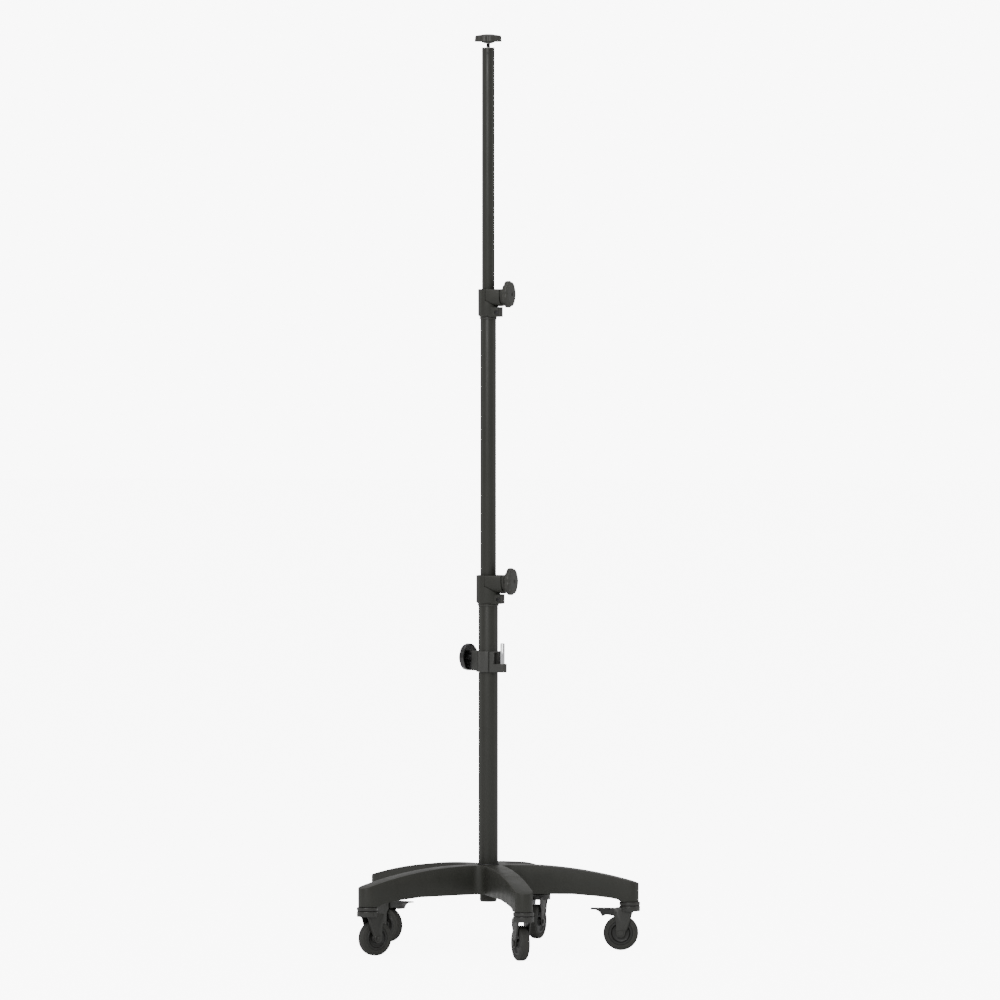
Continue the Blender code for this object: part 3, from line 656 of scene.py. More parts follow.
def caster_fork(sizes):
    """Pressed crown, two legs with a raised rib each, and the axle's holes."""
    seat = CROWN_BOTTOM + 0.0045
    crown = [(0.0081, CROWN_BOTTOM + 0.0010), (0.0195, CROWN_BOTTOM + 0.0010), (0.0200, CROWN_BOTTOM)]
    crown += [(0.0217, CROWN_BOTTOM)] + arc((0.0217, CROWN_BOTTOM + 0.0006), 0.0006, -pi / 2, 0, 3)[1:]
    crown += arc((0.0203, CROWN_TOP - 0.0020), 0.0020, 0, pi / 2, 6)
    crown += [(0.0053, CROWN_TOP), (0.0053, seat), (0.0081, seat)]
    steps = []
    for side in (-1, 1):
        low, high = sorted((side * FORK_INNER, side * FORK_OUTER))
        steps.append(("UNION", caster_leg(low, high, sizes)))
        rib = [(0.0072, 0.0835), (0.0012, 0.0820), (-0.0030, 0.0700), (-0.0078, 0.0560), (-0.0148, 0.0468)]
        rib += [(-0.0110, 0.0425), (-0.0060, 0.0480), (-0.0024, 0.0560), (0.0012, 0.0690), (0.0036, 0.0780)]
        low, high = sorted((side * (FORK_OUTER - 0.0006), side * (FORK_OUTER + 0.0010)))
        steps.append(("UNION", rounded(side_plate(softened(rib, 0.0018), low, high), 0.0006, 2, 60)))
        washer = turned([(0, 0), (0.0078, 0), (0.0082, 0.0004), (0.0078, 0.0008), (0, 0.0008)], 40)
        spot = Matrix.Translation((-TRAIL, side * (FORK_OUTER - 0.0002), WHEEL_HEIGHT))
        steps.append(("UNION", shifted(washer, spot @ Matrix.Rotation(-side * pi / 2, 4, "X"))))
    steps.append(("DIFFERENCE", crosswise(rod(0.0043, -0.03, 0.03), -TRAIL, WHEEL_HEIGHT)))
    return carved(turned(crown, 64), *steps)


def caster_tyre(sizes):
    """A solid tyre with a raised band on each side and rounded shoulders."""
    half = 0.0100
    side = [(0.02592, -half + 0.0006), (0.0266, -half), (0.0312, -half), (0.0316, -half + 0.0005)]
    side += [(0.0336, -half + 0.0005)] + arc((0.0333, -half + 0.0045), 0.0040, -pi / 2 + 0.35, -0.35, 7)
    side += [(0.03742, -half + 0.0052), (0.0375, -half + 0.0070)]
    return turned(side + [(r, -y) for r, y in reversed(side)], sizes.round_steps)


def caster_wheel(sizes):
    """A wheel core: a hub, a thin web and a stepped rim."""
    rim, web = 0.0095, 0.0058
    side = [(0.0043, -0.0115), (0.0070, -0.0115), (0.0076, -0.0111), (0.0080, -0.0086), (0.0090, -0.0077)]
    side += [(0.0104, -web), (0.0180, -web), (0.0192, -0.0064), (0.0200, -0.0076), (0.0205, -rim + 0.0006)]
    side += [(0.0211, -rim), (0.0232, -rim), (0.0236, -rim + 0.0004)]
    side += [(0.0252, -rim + 0.0004), (0.0259, -rim + 0.0010)]
    return turned(side + [(r, -y) for r, y in reversed(side)], sizes.round_steps)


def caster_axle():
    """A bolt with a hexagon head at one end and a nut at the other."""
    def hexagon(bottom, height, radius):
        rings = [(0.93, 0), (1, 0.12), (1, 0.8), (0.9, 1)]
        head = stacked(6, [(radius * reach, height * up) for reach, up in rings])
        return shifted(head, Matrix.Translation((0, 0, bottom)))

    shank = turned([(0, -0.0176), (0.0036, -0.0182), (0.0040, -0.0178), (0.0040, 0.0158), (0, 0.0158)], 32)
    head = hexagon(0.01525, 0.0026, 0.0064)
    nut = shifted(hexagon(0.01525, 0.0021, 0.0064), Matrix.Scale(-1, 4, (0, 0, 1)))
    return carved(shank, ("UNION", head), ("UNION", settled(nut)))


def caster_pedal():
    """A brake pedal: a cam between the fork's cheeks and a ribbed paddle for the toe."""
    x, z = PEDAL_PIVOT
    side = [(x + 0.0050, z + 0.0020), (x + 0.0050, z - 0.0040), (-0.0300, 0.0747), (-0.0370, 0.0747)]
    side += [(-0.0490, 0.0770), (-0.0545, 0.0752), (-0.0572, 0.0730), (-0.0598, 0.0744), (-0.0618, 0.0790)]
    side += [(-0.0645, 0.0828), (-0.0710, 0.0866), (-0.0836, 0.0892), (-0.0838, 0.0903), (-0.0330, 0.0903)]
    body = rounded(side_plate(softened(side, 0.0014), -0.0112, 0.0112), 0.0008, 2, 60)
    paddle = softened([(-0.0838, -0.0150), (-0.0440, -0.0150), (-0.0415, -0.0118), (-0.0415, 0.0118),
                       (-0.0440, 0.0150), (-0.0838, 0.0150)], 0.0035, 4)
    steps = [("UNION", rounded(prism(paddle, 0.0879, 0.0901), 0.0006, 2, 60))]
    for i in range(6):
        at = -0.0810 + 0.0050 * i
        ridge = [(at, 0.0895), (at + 0.0022, 0.0895), (at + 0.0016, 0.0907), (at + 0.0006, 0.0907)]
        steps.append(("UNION", side_plate(ridge, -0.0125, 0.0125)))
    steps.append(("UNION", crosswise(rod(0.0019, -0.0155, 0.0155, 24), x, z)))
    return carved(body, *steps)


class STAND_OT_casters(bpy.types.Operator):
    """Model the five swivel casters, two of them with a brake pedal"""

    bl_idname = "stand.casters"
    bl_label = "Casters"

    def execute(self, context):
        sizes, finish = context.scene.stand_sizes, finishes(context)
        on_axle = Matrix.Translation((-TRAIL, 0, WHEEL_HEIGHT)) @ Matrix.Rotation(pi / 2, 4, "X")
        for index in range(1, ARMS + 1):
            caster, upright = f"caster_{index}_", caster_place(index)
            rolling = upright @ on_axle
            pieces = [
                ("race", caster_stem(), "caster_steel", "base", "stem", upright),
                ("yoke", caster_fork(sizes), "caster_steel", caster + "swivel", "fork", upright),
                ("tread", caster_tyre(sizes), "tread", caster + "roller", "tyre", rolling),
                ("hub", caster_wheel(sizes), "core", caster + "roller", "wheel", rolling),
                ("bolt", caster_axle(), "caster_steel", caster + "swivel", "axle", rolling),
            ]
            if index in BRAKED:
                pieces.append(("toe_pedal", caster_pedal(), "core", caster + "brake", "pedal", upright))
            for name, shape, kind, body, node, place in pieces:
                add_piece(caster + name, shape, finish[kind], body, [caster + node], place)
        return {"FINISHED"}


# ---------------------------------------------------------------- mast

TUBES = (  # name, wall and the body that carries it
    ("lower", 0.0020, "base"), ("middle", 0.0018, "middle_stage"), ("upper", 0.0016, "upper_stage"),
)


def tube_shape(node, wall, sizes):
    """A tube with rounded ends, to the size of its node."""
    low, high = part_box(node)
    outer, edge = (high.x - low.x) / 2, sizes.tube_round
    inner = outer - wall
    profile = [(inner, low.z + edge)] + arc((inner + edge, low.z + edge), edge, pi, 3 * pi / 2, 3)[1:]
    profile += arc((outer - edge, low.z + edge), edge, -pi / 2, 0, 3)
    profile += arc((outer - edge, high.z - edge), edge, 0, pi / 2, 3)
    profile += arc((inner + edge, high.z - edge), edge, pi / 2, pi, 3)
    return turned(profile, sizes.round_steps)


class STAND_OT_tubes(bpy.types.Operator):
    """Model the three tubes of the mast and the small screw near its top"""

    bl_idname = "stand.tubes"
    bl_label = "Tubes"

    def execute(self, context):
        sizes, finish = context.scene.stand_sizes, finishes(context)
        for name, wall, body in TUBES:
            shape = tube_shape(name + "_tube", wall, sizes)
            add_piece(name + "_mast_tube", shape, finish["coat"], body, [name + "_tube"], at_mast())
        rings = [(0.0016, 0.0130), (0.0020, 0.0134), (0.0020, 0.0137)]
        rings += [(0.0017, 0.01385), (0.0009, 0.01385), (0.0008, 0.0134)]
        grub = lying(stacked(32, rings), HIGH_TUBE[1].z - 0.011)
        place = at_mast(context.scene.stand_stage.camera_turn - pi / 2 - radians(6))
        add_piece("mast_grub_screw", grub, finish["black_steel"], "upper_stage", (), place)
        return {"FINISHED"}


# ---------------------------------------------------------------- knobs

KNOB_THREAD = 0.0070  # depth of the threaded hole behind the knob's back


def star_knob(radius, neck, back, depth, notch):
    """A star knob along +Z: a neck, a hollow back with radial ribs, a rim and a low domed front."""
    front, floor = back + depth, back + depth * 0.55

    def lobed(scale, depth=1.0):
        return lobe_reach(radius * scale, depth * notch)

    rings = [(0.0043, back + KNOB_THREAD), (0.0043, 0.0002), (0.0048, 0), (neck - 0.0006, 0), (neck, 0.0006)]
    rings += [(neck + 0.0004, max(back * 0.6, 0.0010)), (neck + 0.0006, floor - 0.0010)]
    rings += [(neck + 0.0016, floor), (lobed(0.80), floor), (lobed(0.83), floor - 0.0006)]
    rings += [(lobed(0.845), back + 0.0006), (lobed(0.86), back), (lobed(0.965), back)]
    rings += [(lobed(0.99), back + 0.0007), (lobed(1), back + 0.0020), (lobed(1), front - 0.0052)]
    rings += [(lobed(0.988), front - 0.0040), (lobed(0.955), front - 0.0029), (lobed(0.905), front - 0.0020)]
    rings += [(lobed(0.84, 0.8), front - 0.0013), (lobed(0.80, 0.5), front - 0.0011)]
    rings += [(radius * 0.76, front - 0.0005), (radius * 0.60, front - 0.0002), (radius * 0.36, front)]
    rings += [(radius * 0.15, front + 0.0001), (radius * 0.02, front + 0.0001)]
    ribs = []
    for i in range(2 * LOBES):
        reach = radius * (0.79 if i % 2 else 0.855)
        rib = prism(rectangle((neck - 0.001, reach), (-0.0006, 0.0006)), back + 0.0012, floor + 0.0010)
        ribs.append(("UNION", shifted(rib, Matrix.Rotation(pi / LOBES * (i + 1 - 2 * LOBE_PHASE), 4, "Z"))))
    return carved(stacked(LOBE_STEPS, rings), *ribs)


def add_knob(prefix, finish_name, start, shape, heading, context):
    """Puts a star knob on its screw; its shape is (radius, neck radius, neck length, depth, notch)."""
    height = JOINTS[prefix + "_knob_turn"]["pos_m"][2]
    knob = shifted(lying(star_knob(*shape)), Matrix.Translation((start, 0, height)))
    add_piece(prefix + "_star", knob, finishes(context)[finish_name], prefix + "_turner", [prefix + "_knob"],
              at_mast(heading))


# ---------------------------------------------------------------- clamp collars

COLLARS = {
    "lower_collar": {
        "body": "base", "tube": "lower_tube", "radius": 0.0258, "bore": 0.0213, "neck_bore": 0.0174,
        "half": 0.0270, "front": 0.0390, "boss_bottom": 0.7650, "corner": 0.0260, "ear_front": 0.0333,
        "ear_half": 0.0126, "ear_top": 0.7633, "bolt": (0.0283, 0.7523), "knob": 0.0295, "shoulder": 0.7718,
    },
    "upper_collar": {
        "body": "middle_stage", "tube": "middle_tube", "radius": 0.02175, "bore": 0.0173, "neck_bore": 0.0139,
        "half": 0.0220, "front": 0.0335, "boss_bottom": 1.3800, "corner": 0.0200, "ear_front": 0.0290,
        "ear_half": 0.0130, "ear_top": 1.3785, "bolt": (0.0240, 1.3672), "knob": 0.0290, "shoulder": 1.3843,
    },
}
COLLAR_KNOB = (0.0115, 0.0008, 0.0130, 1.0)  # neck radius, neck length, depth and notch
END_GROOVE, END_DEPTH, END_INSET = 0.0014, 0.0072, 0.0028  # the block at the outer end of a boss
BOLT_SEAT = 0.0040  # how deep the ear bolt's head sits in the ear


def collar_body(name, spec, sizes):
    """A split clamp: turned barrel, boss for the screw and a slotted ear for its bolt."""
    low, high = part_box(name + "_body")
    bottom, top, radius, edge = low.z, high.z, spec["radius"], sizes.collar_round
    barrel = [(0.010, bottom), (radius - 0.0042, bottom), (radius - 0.0036, bottom + 0.0003)]
    barrel += [(radius - 0.0002, bottom + 0.0040), (radius, bottom + 0.0048)]
    barrel += arc((radius - 0.0022, top - 0.0022), 0.0022, 0, pi / 2, 5) + [(0.010, top)]
    half, corner, front = spec["half"], spec["corner"], spec["front"]

    def boss(trim, lift, drop, start, end):
        """A slice of the boss: its sides drawn in, its foot lifted and its top lowered."""
        wide, foot = half - trim, spec["boss_bottom"] + lift
        bend = min(corner, wide - 0.0005)
        face = arc((wide - bend, foot + bend), bend, 0, -pi / 2, 18)
        face += arc((-wide + bend, foot + bend), bend, -pi / 2, -pi, 18)
        face += [(-wide, top - drop), (wide, top - drop)]
        return prism([(-up, side) for side, up in softened(face, 0.003, 4)], start, end)

    def on_front_or_top(line):
        """Whether an edge lies on the boss's front or its top, while the boss still points up Z."""
        on_front = all(v.co.z > front - 1e-5 for v in line.verts)
        return on_front or all(abs(v.co.x + top) < 1e-5 for v in line.verts)

    main = rounded(boss(0, 0, 0, 0.002, front), edge, 3, 60, on_front_or_top)
    neck = boss(END_INSET, 2 * END_INSET, END_INSET, front - 0.002, front + END_GROOVE + 0.002)
    end = rounded(boss(0.0004, END_INSET, 0.0004, front + END_GROOVE, front + END_DEPTH), 0.0008, 3, 60)
    core = rod(radius - 0.0012, bottom - 0.01, top + 0.02, sizes.round_steps)
    seam = carved(boss(-0.0009, -0.0009, -0.01, 0.0011, front), ("DIFFERENCE", core))
    reach, ear = spec["ear_front"], spec["ear_half"]
    root = ear + 0.3 * (reach - 0.008)
    ear_plan = [(0.008, -root), (reach, -ear), (reach, ear), (0.008, root)]
    ear_shape = rounded(prism(ear_plan, bottom + 0.0002, spec["ear_top"]), edge, 3, 60,
                        lambda e: e.verts[0].co.x + e.verts[1].co.x > 0.03)
    wide, tight = spec["bore"], spec["neck_bore"]
    bore = [(0, bottom - 0.01), (wide + 0.0006, bottom - 0.01), (wide + 0.0006, bottom + 0.0004)]
    bore += [(wide, bottom + 0.0010), (wide, spec["shoulder"]), (tight, spec["shoulder"])]
    bore += [(tight, top - 0.0008), (tight + 0.0008, top), (tight + 0.0008, top + 0.01), (0, top + 0.01)]
    slot = prism(rectangle((0, reach + 0.01), (-0.0008, 0.0008)), bottom - 0.01, spec["ear_top"] + 0.0008)
    screw_height, face = JOINTS[name + "_knob_turn"]["pos_m"][2], front + END_DEPTH
    hole = [(0, tight - 0.004), (0.0053, tight - 0.004), (0.0053, tight + 0.0085), (0.0043, tight + 0.0085)]
    hole += [(0.0043, face - 0.0006), (0.0050, face + 0.0002), (0.0050, face + 0.01), (0, face + 0.01)]
    seat = ear - BOLT_SEAT
    bolt_hole = [(0, -0.0100), (0.0028, -0.0100), (0.0028, seat), (0.0043, seat), (0.0043, 0.03), (0, 0.03)]
    along, height = spec["bolt"]
    return carved(
        turned(barrel, sizes.round_steps), ("DIFFERENCE", lying(seam)), ("UNION", lying(main)),
        ("UNION", lying(neck)), ("UNION", lying(end)), ("UNION", ear_shape),
        ("DIFFERENCE", turned(bore, sizes.round_steps)), ("DIFFERENCE", slot),
        ("DIFFERENCE", lying(turned(hole, 40), screw_height)),
        ("DIFFERENCE", crosswise(turned(bolt_hole, 40), along, height)),
    )


def ear_bolt(spec):
    """A cap screw across the ear, with a hexagon socket in its head."""
    seat = spec["ear_half"] - BOLT_SEAT + 0.0003
    head = seat + BOLT_SEAT
    bolt = turned([(0, -0.0090), (0.0021, -0.0090), (0.0025, -0.0086), (0.0025, seat), (0.0036, seat),
                   (0.0039, seat + 0.0003), (0.0039, head - 0.0005), (0.0035, head), (0, head)], 40)
    socket = stacked(6, [(0.0022, head - 0.0026), (0.0022, head + 0.002)])
    along, height = spec["bolt"]
    return crosswise(carved(bolt, ("DIFFERENCE", socket)), along, height)


class STAND_OT_collars(bpy.types.Operator):
    """Model the two clamp collars with their star knobs and ear bolts"""

    bl_idname = "stand.collars"
    bl_label = "Clamp collars"

    def execute(self, context):
        sizes, finish = context.scene.stand_sizes, finishes(context)
        place = at_mast(KNOB_HEADING)
        for name, spec in COLLARS.items():
            body = spec["body"]
            clamp = collar_body(name, spec, sizes)
            add_piece(name + "_clamp", clamp, finish["casting"], body, [name + "_body"], place)
            screw, steel = ear_bolt(spec), "black_steel"
            add_piece(name + "_cap_screw", screw, finish[steel], body, [name + "_ear_bolt"], place)
            start = spec["front"] + END_DEPTH + 0.0006
            add_knob(name, "grip", start, (spec["knob"], *COLLAR_KNOB), KNOB_HEADING, context)
            low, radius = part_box(name + "_body")[0].z, spec["bore"] - 0.0003
            section = rectangle((radius + 0.0002, radius + 0.0016), (low - 0.0042, low - 0.0004))
            ring = turned(softened(section, 0.0005), sizes.round_steps)
            add_piece(name + "_ring", ring, finish["grip"], body, (), at_mast())
        return {"FINISHED"}


# ---------------------------------------------------------------- accessory clamp

STUD_SPOT = (-0.0445, 0.0115)  # the stud's axis, from the tube's
STUD_RADIUS, STUD_DEPTH = 0.00475, 0.0135
ARM_LEVEL = 0.6155  # height of the arm's flat top
CLAMP_KNOB = (0.0292, 0.0095, 0.0078, 0.0145, 0.35)  # radius, neck radius, neck length, depth and notch
JAW_PIECES = (  # name, inner and outer face, finish and slot
    ("jaw_plate", -0.0278, -0.0320, "clamp_coat", "coat"),
    ("liner", -0.0323, -0.0336, "liner", "liner"),
)


def accessory_body(sizes):
    """An open-backed clamp: barrel, screw boss, jaw block and an arm with a round nose for the stud."""
    low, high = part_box("accessory_body")
    bottom, top, edge = low.z, high.z, sizes.collar_round
    radius, inner = 0.0262, 0.0215

    def block(across, along, foot, head):
        """A part of the clamp with all its edges rounded."""
        return rounded(prism(softened(rectangle(across, along), 0.002), foot, head), edge, 3, 60)

    def through(outline):
        """A cut all the way through the clamp's height."""
        return "DIFFERENCE", prism(outline, bottom - 0.01, top + 0.01)

    wall = softened(rectangle((0.005, radius), (bottom, top)), 0.0018, 4)
    boss = block((0.0, 0.0370), (-0.0110, 0.0110), bottom + 0.002, top - 0.0004)
    jaw = block((-0.0275, 0), (-0.0100, 0.0210), bottom + 0.0002, top - 0.0006)
    recess = prism(rectangle((-0.031, -0.0190), (0.0080, 0.0176)), ARM_LEVEL + 0.0012, top - 0.0030)
    flank = [(0.0236 * cos(a), 0.0236 * sin(a)) for a in (radians(29 + 5 * k) for k in range(9))]
    flank += [(0.0290 * cos(a), 0.0290 * sin(a)) for a in (radians(69 - 5 * k) for k in range(9))]
    groove = [(-0.0172, 0.0200), (-0.0150, 0.0192), (-0.0138, 0.0230), (-0.0165, 0.0236)]
    relief = prism(rectangle((-0.0341, -0.0270), (0.0012, 0.0225)), ARM_LEVEL - 0.0010, ARM_LEVEL + 0.0010)
    plan = [(-0.016, 0.0208)] + arc(STUD_SPOT, 0.0093, pi / 2, 3 * pi / 2, 24) + [(-0.016, 0.0022)]
    arm = rounded(prism(plan, bottom + 0.0005, ARM_LEVEL), edge, 3, 60)
    mouth = arc((0, 0), inner, 0, pi, 48) + [(-inner, -0.05), (inner, -0.05)]
    height = JOINTS["accessory_knob_turn"]["pos_m"][2]
    hole = [(0, 0.015), (0.0053, 0.015), (0.0053, 0.0297), (0.0043, 0.0297), (0.0043, 0.05), (0, 0.05)]
    stud_hole = rod(STUD_RADIUS + 0.00025, ARM_LEVEL - STUD_DEPTH - 0.0005, 0.64, 40)
    return carved(
        turned(wall, sizes.round_steps), ("UNION", boss), ("UNION", jaw), ("UNION", arm),
        through(mouth), ("DIFFERENCE", lying(turned(hole, 40), height)),
        through(flank), through(groove), ("DIFFERENCE", relief), ("DIFFERENCE", recess),
        ("DIFFERENCE", shifted(stud_hole, Matrix.Translation((*STUD_SPOT, 0)))),
    )


class STAND_OT_accessory(bpy.types.Operator):
    """Model the accessory clamp with its stud and glossy star knob"""

    bl_idname = "stand.accessory"
    bl_label = "Accessory clamp"

    def execute(self, context):
        sizes, finish = context.scene.stand_sizes, finishes(context)
        place, body = at_mast(CLAMP_HEADING), "accessory"
        clamp = accessory_body(sizes)
        add_piece("accessory_clamp", clamp, finish["clamp_coat"], body, ["accessory_body"], place)
        foot, top, radius = ARM_LEVEL - STUD_DEPTH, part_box("accessory_stud")[1].z, STUD_RADIUS
        profile = [(0, foot), (radius, foot), (radius, top - 0.0016), (radius - 0.0004, top - 0.0008)]
        stud = turned(profile + [(radius - 0.0014, top), (0, top)], 64)
        spot = place @ Matrix.Translation((*STUD_SPOT, 0))
        add_piece("accessory_pin", stud, finish["chrome"], body, ["accessory_stud"], spot)
        for name, inner, outer, kind, slot in JAW_PIECES:
            node = "accessory_" + name
            low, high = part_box(node)
            slab = rounded(prism(rectangle((outer, inner), (-0.0090, 0.0078)), low.z, high.z), 0.0005, 2, 60)
            add_piece(node + "_slab", slab, finish[kind], body, [node], place)
        add_knob("accessory", "gloss_grip", 0.0376, CLAMP_KNOB, CLAMP_HEADING, context)
        return {"FINISHED"}


# ---------------------------------------------------------------- top grip

def threaded(radius, bottom, top, sizes):
    """A rod with thread ridges round it."""
    profile = [(0, bottom), (radius - 0.001, bottom), (radius - 0.0003, bottom + 0.0008)]
    pitch, depth = sizes.thread_pitch, sizes.thread_depth
    count = int((top - bottom - 0.002) / pitch)
    for i in range(count):
        height = bottom + 0.001 + pitch * i
        profile += [(radius - depth, height), (radius - depth * 0.05, height + pitch * 0.42)]
        profile += [(radius - depth * 0.05, height + pitch * 0.58)]
    return turned(profile + [(radius - depth, top - 0.0006), (radius - depth, top), (0, top)], 48)


GRIP_RADIUS, CAP_RADIUS = 0.0293, 0.0148


def top_grip():
    """A star grip: a hub below, a hollow under the lobed skirt, and a seat for the cap."""
    low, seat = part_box("star_grip")[0].z, CAP_RADIUS + 0.0003

    def lobed(scale, depth=1.0):
        return lobe_reach(GRIP_RADIUS * scale, depth)

    rings = [(0.0045, low + 0.011), (0.0045, low + 0.0004), (0.0050, low), (0.0122, low)]
    rings += [(0.0130, low + 0.0006), (0.0136, low + 0.0016), (0.0142, low + 0.0070), (0.0152, low + 0.0080)]
    rings += [(lobed(0.80, 0.9), low + 0.0080), (lobed(0.86), low + 0.0070)]
    rings += [(lobed(0.895), low + 0.0026), (lobed(0.905), low + 0.0020)]
    rings += [(lobed(0.990), low + 0.0020), (lobed(1.0), low + 0.0026), (lobed(0.998), low + 0.0036)]
    rings += [(lobed(0.968), low + 0.0128), (lobed(0.955), low + 0.0140), (lobed(0.930), low + 0.0149)]
    rings += [(lobed(0.885), low + 0.0155), (lobed(0.76, 0.8), low + 0.0161)]
    rings += [(lobed(0.62, 0.3), low + 0.0166), (seat + 0.0005, low + 0.0168)]
    rings += [(seat, low + 0.0165), (seat, low + 0.0150)]
    return stacked(LOBE_STEPS, rings)


class STAND_OT_grip(bpy.types.Operator):
    """Model the star grip at the top, its cap and its threaded stem"""

    bl_idname = "stand.grip"
    bl_label = "Top grip"

    def execute(self, context):
        sizes, finish = context.scene.stand_sizes, finishes(context)
        place = at_mast()
        add_piece("top_star_grip", top_grip(), finish["grip"], "grip", ["star_grip"], place)
        low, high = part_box("grip_cap")
        cap = [(0, low.z), (CAP_RADIUS - 0.0003, low.z), (CAP_RADIUS, low.z + 0.0003)]
        cap += [(CAP_RADIUS, low.z + 0.0014), (CAP_RADIUS - 0.0004, low.z + 0.0018)]
        cap += [(0.0115, high.z - 0.0006), (0.0085, high.z - 0.0002)]
        cap += [(0.0055, high.z), (0, high.z)]
        add_piece("top_grip_cap", turned(cap, 64), finish["cap"], "grip", ["grip_cap"], place)
        low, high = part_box("grip_stem")
        stem, steel = threaded(0.0042, low.z, high.z, sizes), "black_steel"
        add_piece("top_threaded_stem", stem, finish[steel], "grip", ["grip_stem"], place)
        return {"FINISHED"}


# ---------------------------------------------------------------- carried-over nodes

KEPT_NODES = {
    "hub_plug": "casting", "mast_foot": "plain_steel", "mast_bolt": "plain_steel", "mast_plug": "plain_steel",
    "middle_bush": "nylon", "upper_bush": "nylon", "lower_collar_pad": "nylon", "upper_collar_pad": "nylon",
    "accessory_pad": "nylon", "lower_collar_screw": "plain_steel", "upper_collar_screw": "plain_steel",
    "accessory_screw": "plain_steel", "grip_washer": "plain_steel",
}


class STAND_OT_hardware(bpy.types.Operator):
    """Give the screws, pads, bushes and plugs that keep their own shape their finishes"""

    bl_idname = "stand.hardware"
    bl_label = "Small hardware"

    def execute(self, context):
        finish = finishes(context)
        for name, kind in KEPT_NODES.items():
            node = frame["nodes"][name]
            if not node.material_slots:
                node.data.materials.append(finish[kind])
            for held in node.material_slots:
                held.material = finish[kind]
        return {"FINISHED"}


# ---------------------------------------------------------------- stage

SOFTBOXES = (  # name, place, height it is aimed at, size in metres and power in watts
    ("left_softbox", (-4.0, 0.6, 2.2), 0.9, (2.5, 4.0), 23),
    ("right_softbox", (4.0, 0.4, 2.2), 0.9, (2.5, 4.0), 23),
    ("front_softbox", (-1.4, -6.0, 3.8), 0.9, (3.0, 3.0), 230),
    ("overhead_softbox", (0, -0.4, 4.4), 0, (3.0, 3.0), 55),
)


def studio_light(name, place, aim, size, power):
    """A soft panel of light turned to a point."""
    data = bpy.data.lights.new(name, "AREA")
    data.shape = "RECTANGLE"
    data.size, data.size_y = size
    data.energy = power
    light = bpy.data.objects.new(name, data)
    bpy.context.collection.objects.link(light)
    light.location = place
    light.rotation_euler = (Vector(aim) - Vector(place)).to_track_quat("-Z", "Y").to_euler()


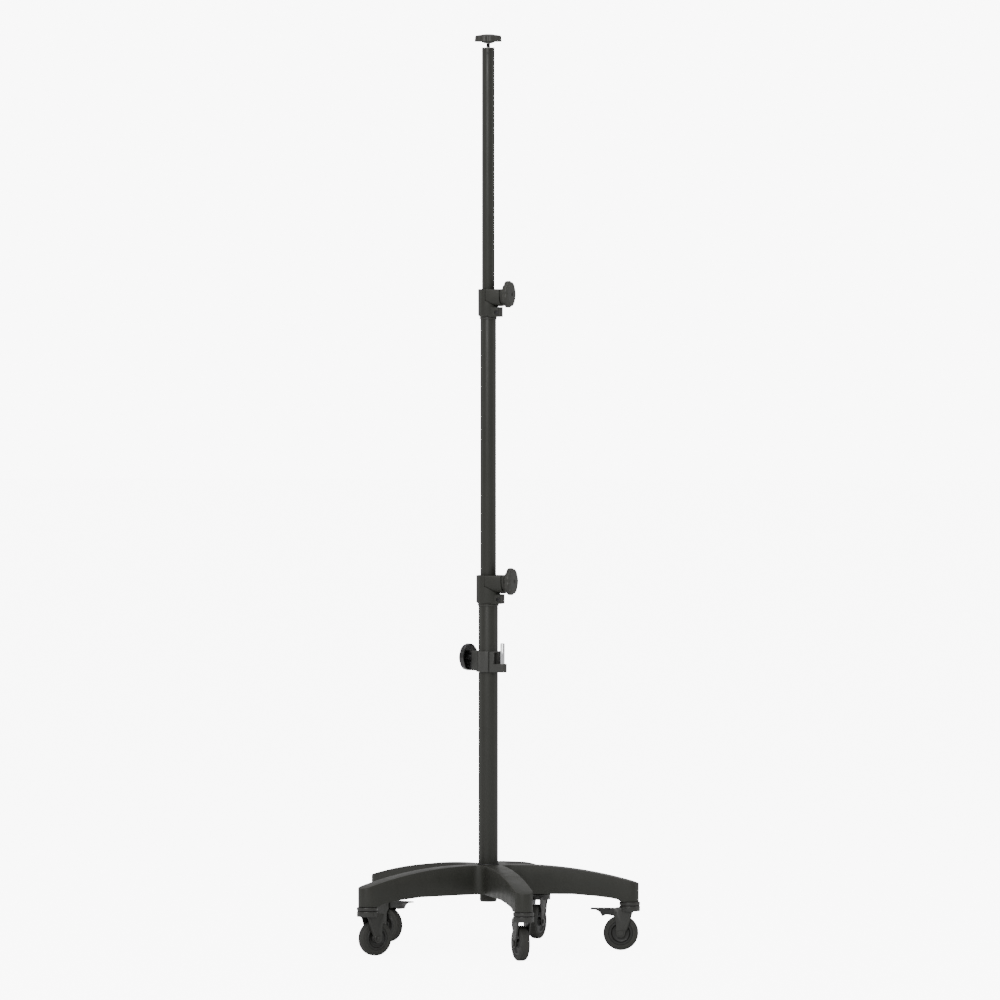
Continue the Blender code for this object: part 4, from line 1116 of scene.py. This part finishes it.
class STAND_OT_stage(bpy.types.Operator):
    """Set the floor, the soft lights and the camera"""

    bl_idname = "stand.stage"
    bl_label = "Stage"

    def execute(self, context):
        stage = context.scene.stand_stage
        bm = bmesh.new()
        bmesh.ops.create_grid(bm, x_segments=1, y_segments=1, size=stage.floor_reach)
        mesh = bpy.data.meshes.new("studio_floor")
        bm.to_mesh(mesh)
        bm.free()
        floor = bpy.data.objects.new("studio_floor", mesh)
        context.collection.objects.link(floor)
        paint = Finish("pale_floor", (0.90, 0.90, 0.90), 0.8, specular=0.1)
        paint.tint(paint.ranged(paint.noise(0.8, 2), 0.4, 0.6, 0, 1), (0.91, 0.91, 0.91))
        paint.shader.inputs["Emission Color"].default_value = (1, 1, 1, 1)
        in_view = paint.node("ShaderNodeLightPath").outputs["Is Camera Ray"]
        glow = paint.ranged(in_view, 0, 1, 0, stage.floor_glow)
        paint.link(glow, paint.shader.inputs["Emission Strength"])
        mesh.materials.append(paint.material)

        world = bpy.data.worlds.new("studio")
        world.use_nodes = True
        context.scene.world = world
        sky = world.node_tree.nodes["Background"]
        sky.inputs["Color"].default_value = (1, 1, 1, 1)
        light_path = world.node_tree.nodes.new("ShaderNodeLightPath")
        strength = world.node_tree.nodes.new("ShaderNodeMapRange")
        strength.inputs["To Min"].default_value = stage.fill
        strength.inputs["To Max"].default_value = stage.backdrop
        world.node_tree.links.new(light_path.outputs["Is Camera Ray"], strength.inputs["Value"])
        world.node_tree.links.new(strength.outputs["Result"], sky.inputs["Strength"])
        for name, spot, aim_height, size, power in SOFTBOXES:
            studio_light(name, spot, (MAST.x, 0, aim_height), size, power)

        toward = Vector((sin(stage.camera_turn), -cos(stage.camera_turn), 0))
        right = Vector((cos(stage.camera_turn), sin(stage.camera_turn), 0))
        data = bpy.data.cameras.new("stand_camera")
        data.lens, data.sensor_width = stage.lens, 36.0
        data.clip_end = 200.0
        camera = bpy.data.objects.new("stand_camera", data)
        context.collection.objects.link(camera)
        camera.location = MAST + toward * stage.camera_distance + Vector((0, 0, stage.camera_height))
        aim = MAST + right * stage.aim_aside + Vector((0, 0, stage.aim_height))
        camera.rotation_euler = (aim - camera.location).to_track_quat("-Z", "Y").to_euler()
        context.scene.camera = camera
        return {"FINISHED"}


# ---------------------------------------------------------------- panel and running

OPERATORS = (
    STAND_OT_stage, STAND_OT_base, STAND_OT_casters, STAND_OT_tubes, STAND_OT_collars, STAND_OT_accessory,
    STAND_OT_grip, STAND_OT_hardware,
)


class STAND_PT_panel(bpy.types.Panel):
    """The stand's pieces and settings"""

    bl_idname = "STAND_PT_panel"
    bl_label = "Rolling stand"
    bl_space_type = "VIEW_3D"
    bl_region_type = "UI"
    bl_category = "Stand"

    def draw(self, context):
        for operator in OPERATORS:
            self.layout.operator(operator.bl_idname)
        for settings in (context.scene.stand_sizes, context.scene.stand_colours, context.scene.stand_stage):
            box = self.layout.box()
            for key in settings.__annotations__:
                box.prop(settings, key)


GROUPS = {"stand_sizes": StandSizes, "stand_colours": StandColours, "stand_stage": StandStage}


def register():
    for group in GROUPS.values():
        bpy.utils.register_class(group)
    for name, group in GROUPS.items():
        setattr(bpy.types.Scene, name, PointerProperty(type=group))
    for operator in OPERATORS:
        bpy.utils.register_class(operator)
    bpy.utils.register_class(STAND_PT_panel)


def unregister():
    bpy.utils.unregister_class(STAND_PT_panel)
    for operator in reversed(OPERATORS):
        bpy.utils.unregister_class(operator)
    for name, group in GROUPS.items():
        delattr(bpy.types.Scene, name)
        bpy.utils.unregister_class(group)


def main():
    register()
    bpy.ops.stand.stage()
    bpy.ops.stand.base()
    bpy.ops.stand.casters()
    bpy.ops.stand.tubes()
    bpy.ops.stand.collars()
    bpy.ops.stand.accessory()
    bpy.ops.stand.grip()
    bpy.ops.stand.hardware()
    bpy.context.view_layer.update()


if __name__ == "__main__":
    main()
